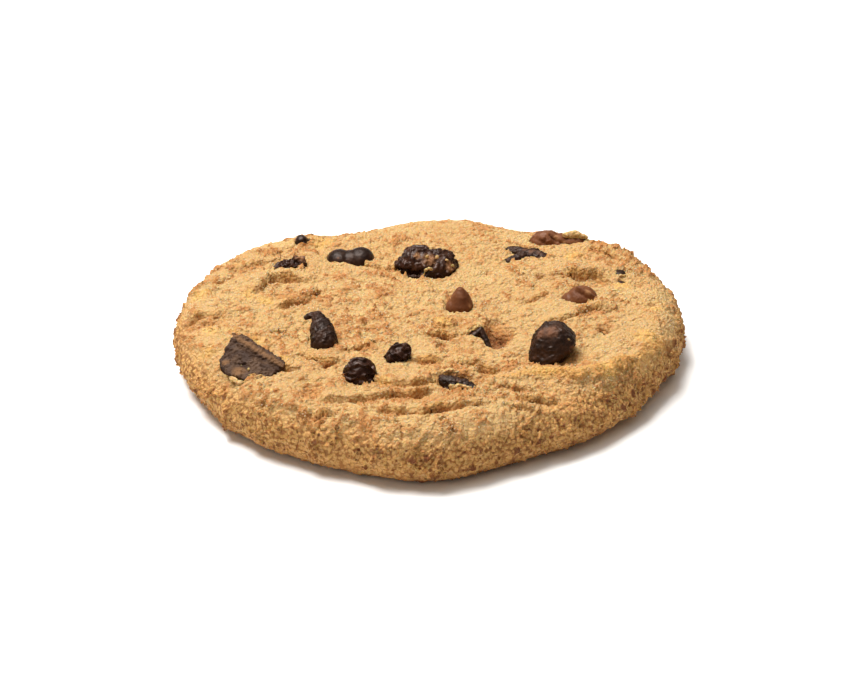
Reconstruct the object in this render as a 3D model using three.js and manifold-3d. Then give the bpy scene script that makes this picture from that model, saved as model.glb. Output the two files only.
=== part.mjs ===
// A round, soft-baked cookie about 90 mm across: one slab of baked dough, with chocolate pieces and raisins
// set in pockets in its top. Millimetres, +Z up. It lies flat on its base at z = 0, with the origin in the
// middle of the base. +X is its right side, +Y its back and -Y its front.
import * as THREE from "three";
import { ConvexGeometry } from "three/addons/geometries/ConvexGeometry.js";
import { mergeVertices } from "three/addons/utils/BufferGeometryUtils.js";
import Module from "manifold-3d";

const wasm = await Module();
wasm.setup();

// ---- Driving dimensions ----

const MEAN_RADIUS = 44; // of the widest line round the rim
const THICKNESS = 10.8; // from the base to the crest of the rim
const BULGE_HEIGHT = 4.5; // of the widest line above the base
const UNDER_TUCK = 5; // how far the flat base stops inside the widest line
const SHOULDER_WIDTH = 7.5; // how far the crest lies inside the widest line
const SHOULDER_FULLNESS = 0.8; // below 1 the shoulder is squarer than an ellipse
const MIDDLE_SAG = 0.5; // how far the middle of the top lies below the crest
const POCKET_GAP = 0.3; // between a piece and the dough round it
const DOUGH_BETWEEN = 0.8; // of dough between two pieces that lie one in front of the other

// The dough spreads unevenly in the oven. Each value is the rim's radius as a share of the mean radius,
// at equal steps round the cookie from +X towards +Y.
const OUTLINE = [
  1.015, 1.075, 1.09, 0.995, 1.005, 0.955, 1.055, 1.055,
  1.025, 0.99, 0.985, 0.975, 1.005, 0.915, 0.92, 0.94,
];

// Facets: enough to follow the outline and the dents, and no more.
const TURN_STEPS = 72;
const MIDDLE_RINGS = 9;
const UNDER_STEPS = 4;
const SHOULDER_STEPS = 6;

// Broad dents (negative) and swellings of the top, in millimetres of height. A place is a share of the mean
// radius from the cookie's axis, and a spread is how far from its middle the dent fades, in millimetres.
const DENTS = [
  { what: "dish round the large chip", at: [0.47, -0.34], spread: [6.5, 6], height: -0.7 },
  { what: "pit beside the shard", at: [0.27, -0.14], spread: [2.6, 3.2], height: -2.2 },
  { what: "hollow near the left rim", at: [-0.89, -0.02], spread: [4.2, 3], height: -1 },
  { what: "knob in the middle", at: [0.05, -0.12], spread: [1.8, 2], height: 0.9 },
  { what: "hollow under the fold at the left", at: [-0.58, 0.2], spread: [3.6, 2.6], height: -0.7 },
  { what: "fold at the left", at: [-0.61, 0.29], spread: [4.6, 1.6], height: 0.8 },
  { what: "fold in front of the right milk chip", at: [0.59, 0.03], spread: [5.5, 1.6], height: 0.9 },
  { what: "ledge behind the front rim", at: [0.05, -0.68], spread: [15, 3], height: -0.7 },
  { what: "sink round the melted front chip", at: [0.1, -0.54], spread: [4.5, 3], height: -0.6 },
  { what: "hole over the sunken chip", at: [0.69, -0.13], spread: [1.8, 1.6], height: -1.4 },
  { what: "swelling behind the front raisins", at: [-0.2, -0.26], spread: [9, 6], height: 0.5 },
  { what: "swelling at the back rim", at: [0.14, 0.86], spread: [8, 6], height: 0.6 },
  { what: "dip at the back right rim", at: [0.42, 0.9], spread: [5, 5], height: -0.6 },
  { what: "dip at the back left rim", at: [-0.3, 0.86], spread: [8, 5], height: -0.4 },
];

// What is set in the dough. A place is a share of the mean radius, or in front of another piece and aside
// of it in millimetres. A size is length, width and height in millimetres before turning. Tilt leans the
// piece about its own length and width and turn swings it about +Z, in degrees. Proud is how far its
// highest point stands above the dough.
const PIECES = [
  {
    name: "raisin_back_large",
    shape: raisin,
    look: "raisin",
    at: [-0.013, 0.445],
    size: [12, 8.6, 7.4],
    tilt: [0, 0],
    turn: -6,
    proud: 4.1,
  },
  {
    name: "raisin_back_left",
    shape: raisin,
    look: "raisin",
    at: [-0.58, 0.445],
    size: [6.8, 4.6, 4.6],
    tilt: [0, 0],
    turn: -4,
    proud: 2,
  },
  {
    name: "raisin_front_left",
    shape: raisin,
    look: "raisin",
    at: [-0.275, -0.525],
    size: [6, 5.8, 6.2],
    tilt: [0, 0],
    turn: 20,
    proud: 3.6,
  },
  {
    name: "raisin_front_middle",
    shape: raisin,
    look: "raisin",
    at: [-0.13, -0.36],
    size: [5.6, 4.6, 4.8],
    tilt: [0, 0],
    turn: 32,
    proud: 2.6,
  },
  {
    name: "dark_chip_twin",
    shape: twinChip,
    look: "dark_chocolate",
    at: [-0.33, 0.545],
    size: [8.8, 5.2, 4.4],
    tilt: [0, 0],
    turn: 2,
    proud: 1.9,
  },
  {
    name: "dark_chip_back_small",
    shape: chip,
    look: "dark_chocolate",
    at: [-0.535, 0.685],
    size: [3, 3, 2.6],
    tilt: [10, 0],
    turn: 0,
    proud: 1.3,
  },
  {
    name: "dark_chip_back_rim",
    shape: chip,
    look: "dark_chocolate",
    at: [-0.5, 0.775],
    size: [3.4, 3.2, 3],
    tilt: [-20, 0],
    turn: 0,
    proud: 0.8,
  },
  {
    name: "dark_chip_left_lying",
    shape: chip,
    look: "dark_chocolate",
    at: [-0.45, -0.197],
    size: [5.9, 5.9, 9],
    tilt: [-68, 0],
    turn: 20,
    proud: 4,
  },
  {
    name: "dark_chip_right_large",
    shape: button,
    look: "dark_chocolate",
    at: [0.471, -0.318],
    size: [7.4, 7.4, 8.2],
    tilt: [0, -112],
    turn: 42,
    proud: 5.8,
  },
  {
    name: "dark_chip_right_buried",
    shape: twinChip,
    look: "dark_chocolate",
    at: [0.785, 0.352],
    size: [7.2, 2.8, 3.4],
    tilt: [0, 0],
    turn: -84,
    proud: 0.6,
  },
  {
    name: "dark_chip_right_sunken",
    shape: chip,
    look: "dark_chocolate",
    at: [0.687, -0.128],
    size: [3.2, 3.2, 3],
    tilt: [0, 25],
    turn: 30,
    proud: 1,
  },
  {
    name: "dark_chunk_left",
    shape: chunk,
    look: "dark_chocolate",
    at: [-0.69, -0.42],
    size: [11, 7.6, 6.4],
    tilt: [0, 0],
    turn: -47,
    proud: 3.2,
  },
  {
    name: "dark_shard_middle",
    shape: chunk,
    look: "dark_chocolate",
    at: [0.197, -0.187],
    size: [5.2, 3.2, 5],
    tilt: [0, 0],
    turn: -42,
    proud: 1.8,
  },
  {
    name: "dark_melt_back",
    shape: melt,
    look: "dark_chocolate",
    inFrontOf: "milk_chunk_back",
    aside: -5.2,
    size: [9.4, 6.2, 2.6],
    tilt: [0, 0],
    turn: -10,
    proud: 0.8,
  },
  {
    name: "dark_melt_front",
    shape: melt,
    look: "dark_chocolate",
    at: [0.105, -0.53],
    size: [8.2, 5.6, 2.8],
    tilt: [0, 0],
    turn: -20,
    proud: 0.6,
  },
  {
    name: "milk_chip_middle",
    shape: chip,
    look: "milk_chocolate",
    at: [0.128, 0.11],
    size: [5, 5, 7.4],
    tilt: [-26, 8],
    turn: 0,
    proud: 3.9,
  },
  {
    name: "milk_chip_right",
    shape: chip,
    look: "milk_chocolate",
    at: [0.592, 0.147],
    size: [5.2, 5.2, 7.2],
    tilt: [0, -80],
    turn: 18,
    proud: 2.7,
  },
  {
    name: "milk_chunk_back",
    shape: chunk,
    look: "milk_chocolate",
    at: [0.54, 0.715],
    size: [11, 4.2, 5],
    tilt: [0, 0],
    turn: -4,
    proud: 1.7,
  },
];

const LOOKS = {
  dough: { color: 0xd9ab6c, roughness: 0.9, metalness: 0 },
  dark_chocolate: { color: 0x2c1812, roughness: 0.45, metalness: 0 },
  milk_chocolate: { color: 0x6a3a26, roughness: 0.5, metalness: 0 },
  raisin: { color: 0x24120f, roughness: 0.35, metalness: 0 },
};

// ---- The dough's form ----

// A smooth closed curve through the outline's radii: Catmull-Rom in the angle.
function rimRadius(angle) {
  const count = OUTLINE.length;
  const step = THREE.MathUtils.euclideanModulo(angle / (2 * Math.PI), 1) * count;
  const at = Math.floor(step);
  const f = step - at;
  const [a, b, c, d] = [-1, 0, 1, 2].map((k) => OUTLINE[(at + k + count) % count]);
  const bend = 2 * a - 5 * b + 4 * c - d + f * (3 * (b - c) + d - a);
  return MEAN_RADIUS * (b + 0.5 * f * (c - a + f * bend));
}

// How far the top stands above or below the crest's level, at a place measured from the cookie's axis.
function topRelief(x, y) {
  const share = Math.min(1, Math.hypot(x, y) / (rimRadius(Math.atan2(y, x)) - SHOULDER_WIDTH));
  const sag = MIDDLE_SAG * Math.sqrt(1 - share ** 2);
  return DENTS.reduce((sum, { at, spread, height }) => {
    const across = (x - at[0] * MEAN_RADIUS) / spread[0];
    const along = (y - at[1] * MEAN_RADIUS) / spread[1];
    return sum + height * Math.exp(-(across ** 2) - along ** 2);
  }, -sag);
}

// The half section, from the axis at the base round the edge to the axis at the top, on the mean radius.
function doughSection() {
  const points = [new THREE.Vector2(0, 0)];
  for (let k = 0; k <= UNDER_STEPS; k += 1) {
    const a = ((k / UNDER_STEPS) * Math.PI) / 2;
    const r = MEAN_RADIUS - UNDER_TUCK * (1 - Math.sin(a));
    points.push(new THREE.Vector2(r, BULGE_HEIGHT * (1 - Math.cos(a))));
  }
  for (let k = 1; k <= SHOULDER_STEPS; k += 1) {
    const a = ((k / SHOULDER_STEPS) * Math.PI) / 2;
    const inset = SHOULDER_WIDTH * (1 - Math.max(0, Math.cos(a)) ** SHOULDER_FULLNESS);
    const height = BULGE_HEIGHT + (THICKNESS - BULGE_HEIGHT) * Math.sin(a);
    points.push(new THREE.Vector2(MEAN_RADIUS - inset, height));
  }
  for (let k = MIDDLE_RINGS - 1; k >= 0; k -= 1) {
    points.push(new THREE.Vector2(((MEAN_RADIUS - SHOULDER_WIDTH) * k) / MIDDLE_RINGS, THICKNESS));
  }
  return points;
}

// The section turned round the axis, with the rim pushed out or in to the outline. The edge keeps its own
// section all round, and only the flat middle stretches. The relief fades out down the shoulder.
function doughGeometry() {
  const geometry = new THREE.LatheGeometry(doughSection(), TURN_STEPS);
  geometry.rotateX(Math.PI / 2); // a lathe turns about +Y
  const position = geometry.getAttribute("position");
  const crestRadius = MEAN_RADIUS - SHOULDER_WIDTH;
  for (let i = 0; i < position.count; i += 1) {
    const [x, y, z] = [position.getX(i), position.getY(i), position.getZ(i)];
    const radius = Math.hypot(x, y);
    const angle = Math.atan2(y, x);
    const rim = rimRadius(angle);
    const edge = MEAN_RADIUS - radius;
    const pushed = radius < crestRadius ? (radius * (rim - SHOULDER_WIDTH)) / crestRadius : rim - edge;
    const [px, py] = [pushed * Math.cos(angle), pushed * Math.sin(angle)];
    const raised = THREE.MathUtils.smoothstep(z, BULGE_HEIGHT, THICKNESS) * topRelief(px, py);
    position.setXYZ(i, px, py, z + raised);
  }
  return geometry;
}

// The middle of the outline's own box, which becomes the origin.
function outlineMiddle() {
  const box = new THREE.Box2();
  for (let k = 0; k < TURN_STEPS; k += 1) {
    const angle = (k / TURN_STEPS) * 2 * Math.PI;
    const r = rimRadius(angle);
    box.expandByPoint(new THREE.Vector2(r * Math.cos(angle), r * Math.sin(angle)));
  }
  return box.getCenter(new THREE.Vector2());
}

// ---- The shapes set in it, each drawn at any size and then fitted to its own ----

// A raisin: a pebble drawn in by folds that run mostly along its length.
function raisin() {
  const geometry = mergedBall(3);
  const position = geometry.getAttribute("position");
  const point = new THREE.Vector3();
  for (let i = 0; i < position.count; i += 1) {
    point.fromBufferAttribute(position, i);
    const around = Math.atan2(point.z, point.y);
    const folds = Math.abs(Math.sin(2.5 * around + 1.4 * point.x)) * (1 - point.x ** 2);
    const lumps = Math.sin(4 * point.x + 1) * Math.sin(3 * point.y) * 0.06;
    point.multiplyScalar(0.86 + 0.16 * folds + lumps);
    position.setXYZ(i, point.x, point.y, point.z);
  }
  return geometry;
}

// A chocolate chip: a drop squeezed on to a flat foot, with a rounded edge and a blunt tip.
function chip() {
  return turnedDrop([
    [0.42, 0.02],
    [0.5, 0.16],
    [0.44, 0.42],
    [0.26, 0.68],
    [0.12, 0.9],
    [0.05, 0.98],
  ]);
}

// A chip that swelled while it baked, so that its flanks are full and its tip is nearly gone.
function button() {
  return turnedDrop([
    [0.36, 0.01],
    [0.49, 0.16],
    [0.5, 0.45],
    [0.41, 0.74],
    [0.24, 0.92],
    [0.1, 0.99],
  ]);
}

// A smooth flank from [radius, height] points, closed by its foot and its tip.
function turnedDrop(flank) {
  const curve = new THREE.SplineCurve(flank.map(([r, h]) => new THREE.Vector2(r, h)));
  const profile = [new THREE.Vector2(0, 0), ...curve.getPoints(7), new THREE.Vector2(0, 1)];
  return new THREE.LatheGeometry(profile, 14).rotateX(Math.PI / 2);
}

// Two drops that melted together side by side, with a waist between them.
function twinChip() {
  const lobes = [-1, 1].map((side) => {
    const lobe = mergedBall(2);
    lobe.scale(side < 0 ? 1 : 1.12, 1, side < 0 ? 0.92 : 1);
    lobe.translate(0.82 * side, 0, 0);
    return solidOf(lobe);
  });
  return geometryOf(lobes[0].add(lobes[1]));
}

// A piece broken from a bar: a low wedge with a long ridge and broken ends.
function chunk() {
  const corners = [
    [-1, -0.7, -0.6],
    [-0.75, 0.8, -0.7],
    [0.9, -0.8, -0.7],
    [1, 0.55, -0.6],
    [-0.95, -0.85, 0],
    [-0.9, 0.75, 0.1],
    [1, -0.6, 0],
    [0.98, 0.6, 0.15],
    [-0.82, 0.1, 0.95],
    [-0.7, 0.5, 0.8],
    [0.75, 0.2, 0.55],
    [0.86, 0.5, 0.5],
    [0.1, -0.95, -0.1],
    [0.05, 0.9, 0.1],
  ].map(([x, y, z]) => new THREE.Vector3(x, y, z));
  return new ConvexGeometry(corners);
}

// Chocolate that ran while it baked: a flat pool with three arms and a rounded edge.
function melt() {
  const points = [];
  for (let k = 0; k < 24; k += 1) {
    const a = (k / 24) * 2 * Math.PI;
    const r = 1 + 0.28 * Math.cos(3 * a + 0.5) + 0.1 * Math.cos(2 * a);
    points.push(new THREE.Vector2(r * Math.cos(a), r * Math.sin(a)));
  }
  return new THREE.ExtrudeGeometry(new THREE.Shape(points), {
    depth: 0.3,
    bevelThickness: 0.35,
    bevelSize: 0.25,
    bevelSegments: 2,
    curveSegments: 1,
  });
}

// ---- Helpers ----

function mergedBall(detail) {
  const ball = new THREE.IcosahedronGeometry(1, detail);
  ball.deleteAttribute("normal");
  ball.deleteAttribute("uv");
  return mergeVertices(ball, 1e-4);
}

function solidOf(geometry) {
  const bare = geometry.index ? geometry.toNonIndexed() : geometry.clone();
  const points = new THREE.BufferGeometry().setAttribute("position", bare.getAttribute("position"));
  const merged = mergeVertices(points, 1e-4);
  return new wasm.Manifold(
    new wasm.Mesh({
      numProp: 3,
      vertProperties: merged.getAttribute("position").array,
      triVerts: new Uint32Array(merged.index.array),
    }),
  );
}

function geometryOf(solid) {
  const mesh = solid.getMesh();
  const geometry = new THREE.BufferGeometry();
  geometry.setAttribute("position", new THREE.BufferAttribute(new Float32Array(mesh.vertProperties), 3));
  geometry.setIndex(new THREE.BufferAttribute(new Uint32Array(mesh.triVerts), 1));
  return geometry;
}

// A piece's shape, centred on its own box and fitted to its size, with a margin added on every side.
function fittedShape({ shape, size }, margin) {
  const geometry = shape();
  geometry.center();
  geometry.computeBoundingBox();
  const extent = geometry.boundingBox.getSize(new THREE.Vector3());
  return geometry.scale(...size.map((side, axis) => (side + 2 * margin) / extent.getComponent(axis)));
}

// Where a piece lies, from the axis. One that lies in front of another keeps the dough between them.
function placeOf({ at, inFrontOf, aside, size }) {
  if (!inFrontOf) return at.map((share) => share * MEAN_RADIUS);
  const other = PIECES.find(({ name }) => name === inFrontOf);
  const [x, y] = placeOf(other);
  return [x + aside, y - other.size[1] / 2 - DOUGH_BETWEEN - size[1] / 2];
}

// The level of the dough's top at a place, with its relief and the fall of the shoulder.
function crustHeight(x, y) {
  return THICKNESS + topRelief(x, y) - shoulderDrop(x, y);
}

// How far the shoulder has fallen below the crest's level at a place near the rim.
function shoulderDrop(x, y) {
  const inset = rimRadius(Math.atan2(y, x)) - Math.hypot(x, y);
  if (inset >= SHOULDER_WIDTH) return 0;
  const cosine = (1 - inset / SHOULDER_WIDTH) ** (1 / SHOULDER_FULLNESS);
  return (THICKNESS - BULGE_HEIGHT) * (1 - Math.sqrt(1 - cosine ** 2));
}

// ---- The cookie ----

// Everything is drawn about the axis that the outline turns round, and moved so that the outline's own
// middle is the origin.
const cookie = new THREE.Group();
const baked = new THREE.Group();
const middle = outlineMiddle();
baked.position.set(-middle.x, -middle.y, 0);
cookie.add(baked);

function addNode(name, look, geometry) {
  const mesh = new THREE.Mesh(geometry, new THREE.MeshStandardMaterial(LOOKS[look]));
  mesh.name = name;
  baked.add(mesh);
  return mesh;
}

// Puts a piece where it is set, with its highest point proud of the dough round it by its own amount.
function addPiece(piece) {
  const mesh = addNode(piece.name, piece.look, fittedShape(piece, 0));
  const angles = [...piece.tilt, piece.turn].map(THREE.MathUtils.degToRad);
  mesh.rotation.set(...angles, "ZYX"); // the tilts come first, then the turn
  const [x, y] = placeOf(piece);
  const top = new THREE.Box3().setFromObject(mesh, true).max.z;
  mesh.position.set(x, y, crustHeight(x, y) + piece.proud - top);
  mesh.updateMatrix();
  return mesh;
}

// Each pocket is the piece's own shape, larger by the gap all round.
let dough = solidOf(doughGeometry());
for (const piece of PIECES) {
  const mesh = addPiece(piece);
  dough = dough.subtract(solidOf(fittedShape(piece, POCKET_GAP).applyMatrix4(mesh.matrix)));
}
addNode("baked_dough", "dough", geometryOf(dough));

export default cookie;
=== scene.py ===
# %% [markdown]
# # A soft-baked cookie with chocolate and raisins
#
# This lesson dresses a plain model of a cookie until it looks baked. The plain model is a frame: one slab of
# dough and eighteen pieces of chocolate and raisin, each at its real size and place. We load it first, and
# nothing in it is ever moved. Every new mesh takes its size and place from it.

# %% Load the frame
import math

import bmesh
import bpy
import numpy as np
from mathutils import Matrix, Vector, noise
from mathutils.bvhtree import BVHTree


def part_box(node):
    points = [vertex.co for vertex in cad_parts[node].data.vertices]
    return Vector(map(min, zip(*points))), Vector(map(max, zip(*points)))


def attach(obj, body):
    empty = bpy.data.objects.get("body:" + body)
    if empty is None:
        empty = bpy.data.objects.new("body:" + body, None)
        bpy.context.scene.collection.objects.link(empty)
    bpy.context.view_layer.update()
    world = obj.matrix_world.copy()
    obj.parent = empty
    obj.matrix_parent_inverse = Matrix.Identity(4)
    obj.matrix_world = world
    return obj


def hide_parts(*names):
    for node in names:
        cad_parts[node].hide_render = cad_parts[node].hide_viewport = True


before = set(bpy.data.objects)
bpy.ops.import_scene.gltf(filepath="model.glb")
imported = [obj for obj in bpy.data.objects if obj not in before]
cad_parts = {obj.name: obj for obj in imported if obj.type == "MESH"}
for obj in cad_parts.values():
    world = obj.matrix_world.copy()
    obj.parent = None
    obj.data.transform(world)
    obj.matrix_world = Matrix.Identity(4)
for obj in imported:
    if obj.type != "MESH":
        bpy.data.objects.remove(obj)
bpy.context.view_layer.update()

MM = 0.001  # the frame is in metres, and a cookie is easier to think of in millimetres

# %% [markdown]
# ## The camera
#
# The cookie is seen from the front, 27 degrees above the table, from far enough away that its back looks
# hardly smaller than its front. That asks for a long lens. The camera looks along +Y, and it aims a little
# above the table, at half the cookie's thickness.

# %% Place the camera
CAMERA_ELEVATION = math.radians(27)
CAMERA_DISTANCE = 0.600
CAMERA_AIM = Vector((-0.7 * MM, 0, 5.6 * MM))
CAMERA_LENS = 142.5  # millimetres, on the usual 36 mm wide sensor

camera = bpy.data.objects.new("camera", bpy.data.cameras.new("camera"))
bpy.context.scene.collection.objects.link(camera)
back_off = Vector((0, -math.cos(CAMERA_ELEVATION), math.sin(CAMERA_ELEVATION)))
camera.location = CAMERA_AIM + CAMERA_DISTANCE * back_off
camera.rotation_euler = (math.pi / 2 - CAMERA_ELEVATION, 0, 0)
camera.data.lens = CAMERA_LENS
camera.data.clip_start = 0.05
bpy.context.scene.camera = camera
print("the camera stands at", [round(v, 3) for v in camera.location])

# %% [markdown]
# ## Light and table
#
# Crumb only shows its texture when light grazes it, so the main light is a soft one above and behind the
# cookie, a little to its left. It leaves the faces that turn to us in warm shade, and the right side darkest.
# A weak light from the front left and a warm sky keep that shade from going black, and give the soft shadow
# where the cookie meets the table.

# %% Light the table
def area_light(name, place, size, watts, color):
    """A square soft light that points at the cookie."""
    data = bpy.data.lights.new(name, "AREA")
    data.size = size
    data.energy = watts
    data.color = color
    lamp = bpy.data.objects.new(name, data)
    bpy.context.scene.collection.objects.link(lamp)
    lamp.location = place
    lamp.rotation_euler = (CAMERA_AIM - Vector(place)).to_track_quat("-Z", "Y").to_euler()
    return lamp


area_light("soft_box", (-0.29, 0.22, 0.91), 0.60, 18.0, (1.0, 1.0, 1.0))
area_light("ceiling", (0.0, 0.1, 1.2), 1.4, 5.0, (1.0, 1.0, 1.0))
area_light("front_fill", (-0.60, -0.80, 0.60), 0.6, 1.8, (1.0, 0.90, 0.78))

world = bpy.data.worlds.new("warm_sky")
world.use_nodes = True
world.node_tree.nodes["Background"].inputs["Color"].default_value = (1.0, 0.87, 0.70, 1)
world.node_tree.nodes["Background"].inputs["Strength"].default_value = 0.20
bpy.context.scene.world = world
bpy.context.scene.view_settings.view_transform = "Standard"

TABLE_HALF = 1.5
table_mesh = bpy.data.meshes.new("table")
table_mesh.from_pydata(
    [(-TABLE_HALF, -TABLE_HALF, 0), (TABLE_HALF, -TABLE_HALF, 0), (TABLE_HALF, TABLE_HALF, 0),
    (-TABLE_HALF, TABLE_HALF, 0)],
    [],
    [(0, 1, 2, 3)],
)
table = bpy.data.objects.new("table", table_mesh)
bpy.context.scene.collection.objects.link(table)
table_paint = bpy.data.materials.new("white_table")
table_paint.use_nodes = True
table_paint.node_tree.nodes["Principled BSDF"].inputs["Base Color"].default_value = (0.92, 0.92, 0.915, 1)
table_paint.node_tree.nodes["Principled BSDF"].inputs["Roughness"].default_value = 0.6
table_mesh.materials.append(table_paint)
print("three soft lights, a warm sky and a table")

# %% [markdown]
# ## Helpers for node trees
#
# Blender's node trees can be written in a script as well as drawn. A few small helpers are enough: they add a
# node and fill or link its sockets, do arithmetic, fade one number into another, and make noises and cells of
# a given size.

# %% Node helpers
def put(tree, kind, sockets=None, **settings):
    """Adds a node. A socket's value is a number or vector, or another node's output to link to it."""
    node = tree.nodes.new(kind)
    for key, value in settings.items():
        setattr(node, key, value)
    for key, value in (sockets or {}).items():
        if isinstance(value, bpy.types.NodeSocket):
            tree.links.new(value, node.inputs[key])
        else:
            node.inputs[key].default_value = value
    return node


def calc(tree, operation, *values):
    """One step of arithmetic on numbers or outputs."""
    return put(tree, "ShaderNodeMath", dict(enumerate(values)), operation=operation).outputs[0]


def fade(tree, value, low, high, to_low=0.0, to_high=1.0):
    """A smooth step: to_low where value is at low, to_high where it is at high, and no further."""
    sockets = {"Value": value, "From Min": low, "From Max": high, "To Min": to_low, "To Max": to_high}
    return put(tree, "ShaderNodeMapRange", sockets, interpolation_type="SMOOTHSTEP").outputs["Result"]


def shifted(tree, vector, seed):
    """The same coordinates moved far away, so that two textures never line up."""
    far_away = (17.3 * seed, -9.1 * seed, 5.7 * seed)
    return put(tree, "ShaderNodeVectorMath", {0: vector, 1: far_away}, operation="ADD").outputs[0]


def cloud(tree, vector, size, seed, detail=2.0, roughness=0.5):
    """Soft noise between 0 and 1 with blobs of the given size."""
    sockets = {"Vector": shifted(tree, vector, seed), "Scale": 1 / size, "Detail": detail,
        "Roughness": roughness}
    return put(tree, "ShaderNodeTexNoise", sockets).outputs[0]


def cells(tree, vector, size, seed, feature="F1", output="Distance"):
    """A pattern of cells of the given size: the distance to each cell's middle, or its own random colour."""
    sockets = {"Vector": shifted(tree, vector, seed), "Scale": 1 / size}
    return put(tree, "ShaderNodeTexVoronoi", sockets, feature=feature).outputs[output]


def centred(tree, value, amount):
    """A noise between 0 and 1 made to swing by amount about nought."""
    return calc(tree, "MULTIPLY", calc(tree, "SUBTRACT", value, 0.5), amount)


# %% [markdown]
# ## Helpers for meshes
#
# Geometry nodes run as a modifier. Its inputs are stored under the sockets' identifiers, not their names, so
# one helper looks those up. A second one bakes the modifier's result into a plain mesh.

# %% Mesh helpers
def new_object(name, points, faces):
    mesh = bpy.data.meshes.new(name)
    mesh.from_pydata([tuple(p) for p in points], [], faces)
    mesh.update()
    made = bpy.data.objects.new(name, mesh)
    bpy.context.scene.collection.objects.link(made)
    return made


def new_tree(name, **inputs):
    """An empty geometry tree with a geometry input and output and one float input for each named size."""
    tree = bpy.data.node_groups.new(name, "GeometryNodeTree")
    tree.interface.new_socket("Geometry", in_out="INPUT", socket_type="NodeSocketGeometry")
    for key, value in inputs.items():
        kind = "NodeSocketInt" if isinstance(value, int) else "NodeSocketFloat"
        tree.interface.new_socket(key, in_out="INPUT", socket_type=kind).default_value = value
    tree.interface.new_socket("Geometry", in_out="OUTPUT", socket_type="NodeSocketGeometry")
    return tree, tree.nodes.new("NodeGroupInput").outputs


def close_tree(tree, geometry):
    tree.links.new(geometry, tree.nodes.new("NodeGroupOutput").inputs[0])


def apply_tree(piece, tree, **values):
    """Runs a geometry tree on a piece and keeps its result as the piece's plain mesh."""
    modifier = piece.modifiers.new(tree.name, "NODES")
    modifier.node_group = tree
    for item in tree.interface.items_tree:
        if item.in_out == "INPUT" and item.name in values:
            modifier[item.identifier] = values[item.name]
    bake_modifiers(piece)


def bake_modifiers(piece):
    """Replaces a piece's mesh by what its modifiers make of it."""
    graph = bpy.context.evaluated_depsgraph_get()
    mesh = bpy.data.meshes.new_from_object(piece.evaluated_get(graph), preserve_all_data_layers=True,
        depsgraph=graph)
    piece.modifiers.clear()
    old = piece.data
    piece.data = mesh
    mesh.name = piece.name
    bpy.data.meshes.remove(old)


def store(mesh, name, values):
    """Keeps one number for each point, which a material can read back by its name."""
    mesh.attributes.new(name, "FLOAT", "POINT").data.foreach_set("value", np.asarray(values, np.float32))


def points_of(mesh):
    flat = np.empty(len(mesh.vertices) * 3)
    mesh.vertices.foreach_get("co", flat)
    return flat.reshape(-1, 3)


# %% [markdown]
# ## The dough's outline and section
#
# Dough spreads as it bakes. Its outline is a wobbly circle, and its edge always has the same section: a flat
# base, a bulge that overhangs it, and a round shoulder up to the top. So we measure the outline on the frame,
# by shooting rays inwards at the height of the bulge, and keep the section as a few named sizes. Adding waves
# of fewer and fewer turns (a Fourier sum) smooths the frame's flat facets out of the outline.

# %% Measure the outline
BULGE_HEIGHT = 4.5
UNDER_TUCK = 5.0
SHOULDER = 7.5
SHOULDER_FULLNESS = 0.8
THICKNESS = 10.8
OUTLINE_WAVES = 14
OUTLINE_RAYS = 180

dough_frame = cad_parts["baked_dough"]
dough_tree = BVHTree.FromObject(dough_frame, bpy.context.evaluated_depsgraph_get())
ray_angles = np.arange(OUTLINE_RAYS) / OUTLINE_RAYS * 2 * np.pi


def measured_radius(angle):
    outwards = Vector((math.cos(angle), math.sin(angle), 0))
    hit = dough_tree.ray_cast(outwards * 0.1 + Vector((0, 0, BULGE_HEIGHT * MM)), -outwards)[0]
    return hit.xy.length / MM


waves = np.fft.rfft([measured_radius(a) for a in ray_angles])
waves[OUTLINE_WAVES:] = 0
rim_table = np.fft.irfft(waves, OUTLINE_RAYS)
MEAN_RADIUS = float(rim_table.mean())


def rim_radius(angle):
    return np.interp(np.mod(angle, 2 * np.pi), ray_angles, rim_table, period=2 * np.pi)


print("mean radius", round(MEAN_RADIUS, 2), "mm; least and most", rim_table.min().round(2),
    rim_table.max().round(2))

# %% [markdown]
# ## The dough's surface
#
# The surface has to be fine enough to carry crumb, and no finer where nobody looks. It is built from rings of
# points, all round the section: each ring has as many points as keep the spacing even, six times its number
# in the middle, as in a honeycomb. Two rings with different counts are joined by walking round both at once
# and always stepping on the one that lags behind.

# %% Build the rings
CRUMB_SPACING = 0.30  # between neighbouring points where the dough shows
TUCK_SPACING = 0.34  # under the bulge
BASE_SPACING = 2.0  # and on the flat base


def arc_stations(curve, spacing):
    """Points along a curve at even spacing, from its start up to but without its end."""
    fine = np.array([curve(t) for t in np.linspace(0, 1, 200)])
    length = np.concatenate([[0], np.cumsum(np.hypot(*np.diff(fine, axis=0).T))])
    count = max(1, round(length[-1] / spacing))
    return [[np.interp(length[-1] * k / count, length, fine[:, axis]) for axis in (0,
        1)] for k in range(count)]


def flat_top(t):
    return t * (MEAN_RADIUS - SHOULDER), THICKNESS


def shoulder(t):
    a = (1 - t) * np.pi / 2
    return MEAN_RADIUS - SHOULDER * (1 - max(0,
        np.cos(a)) ** SHOULDER_FULLNESS), BULGE_HEIGHT + (THICKNESS - BULGE_HEIGHT) * np.sin(a)


def tuck(t):
    a = (1 - t) * np.pi / 2
    return MEAN_RADIUS - UNDER_TUCK * (1 - np.sin(a)), BULGE_HEIGHT * (1 - np.cos(a))


def base(t):
    return (1 - t) * (MEAN_RADIUS - UNDER_TUCK), 0.0


stations = []  # radius, height and spacing of each ring, from the middle of the top round to the base
section = [(flat_top, CRUMB_SPACING), (shoulder, CRUMB_SPACING), (tuck, TUCK_SPACING), (base, BASE_SPACING)]
for curve, spacing in section:
    stations += [(r, z, spacing) for r, z in arc_stations(curve, spacing)]


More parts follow.
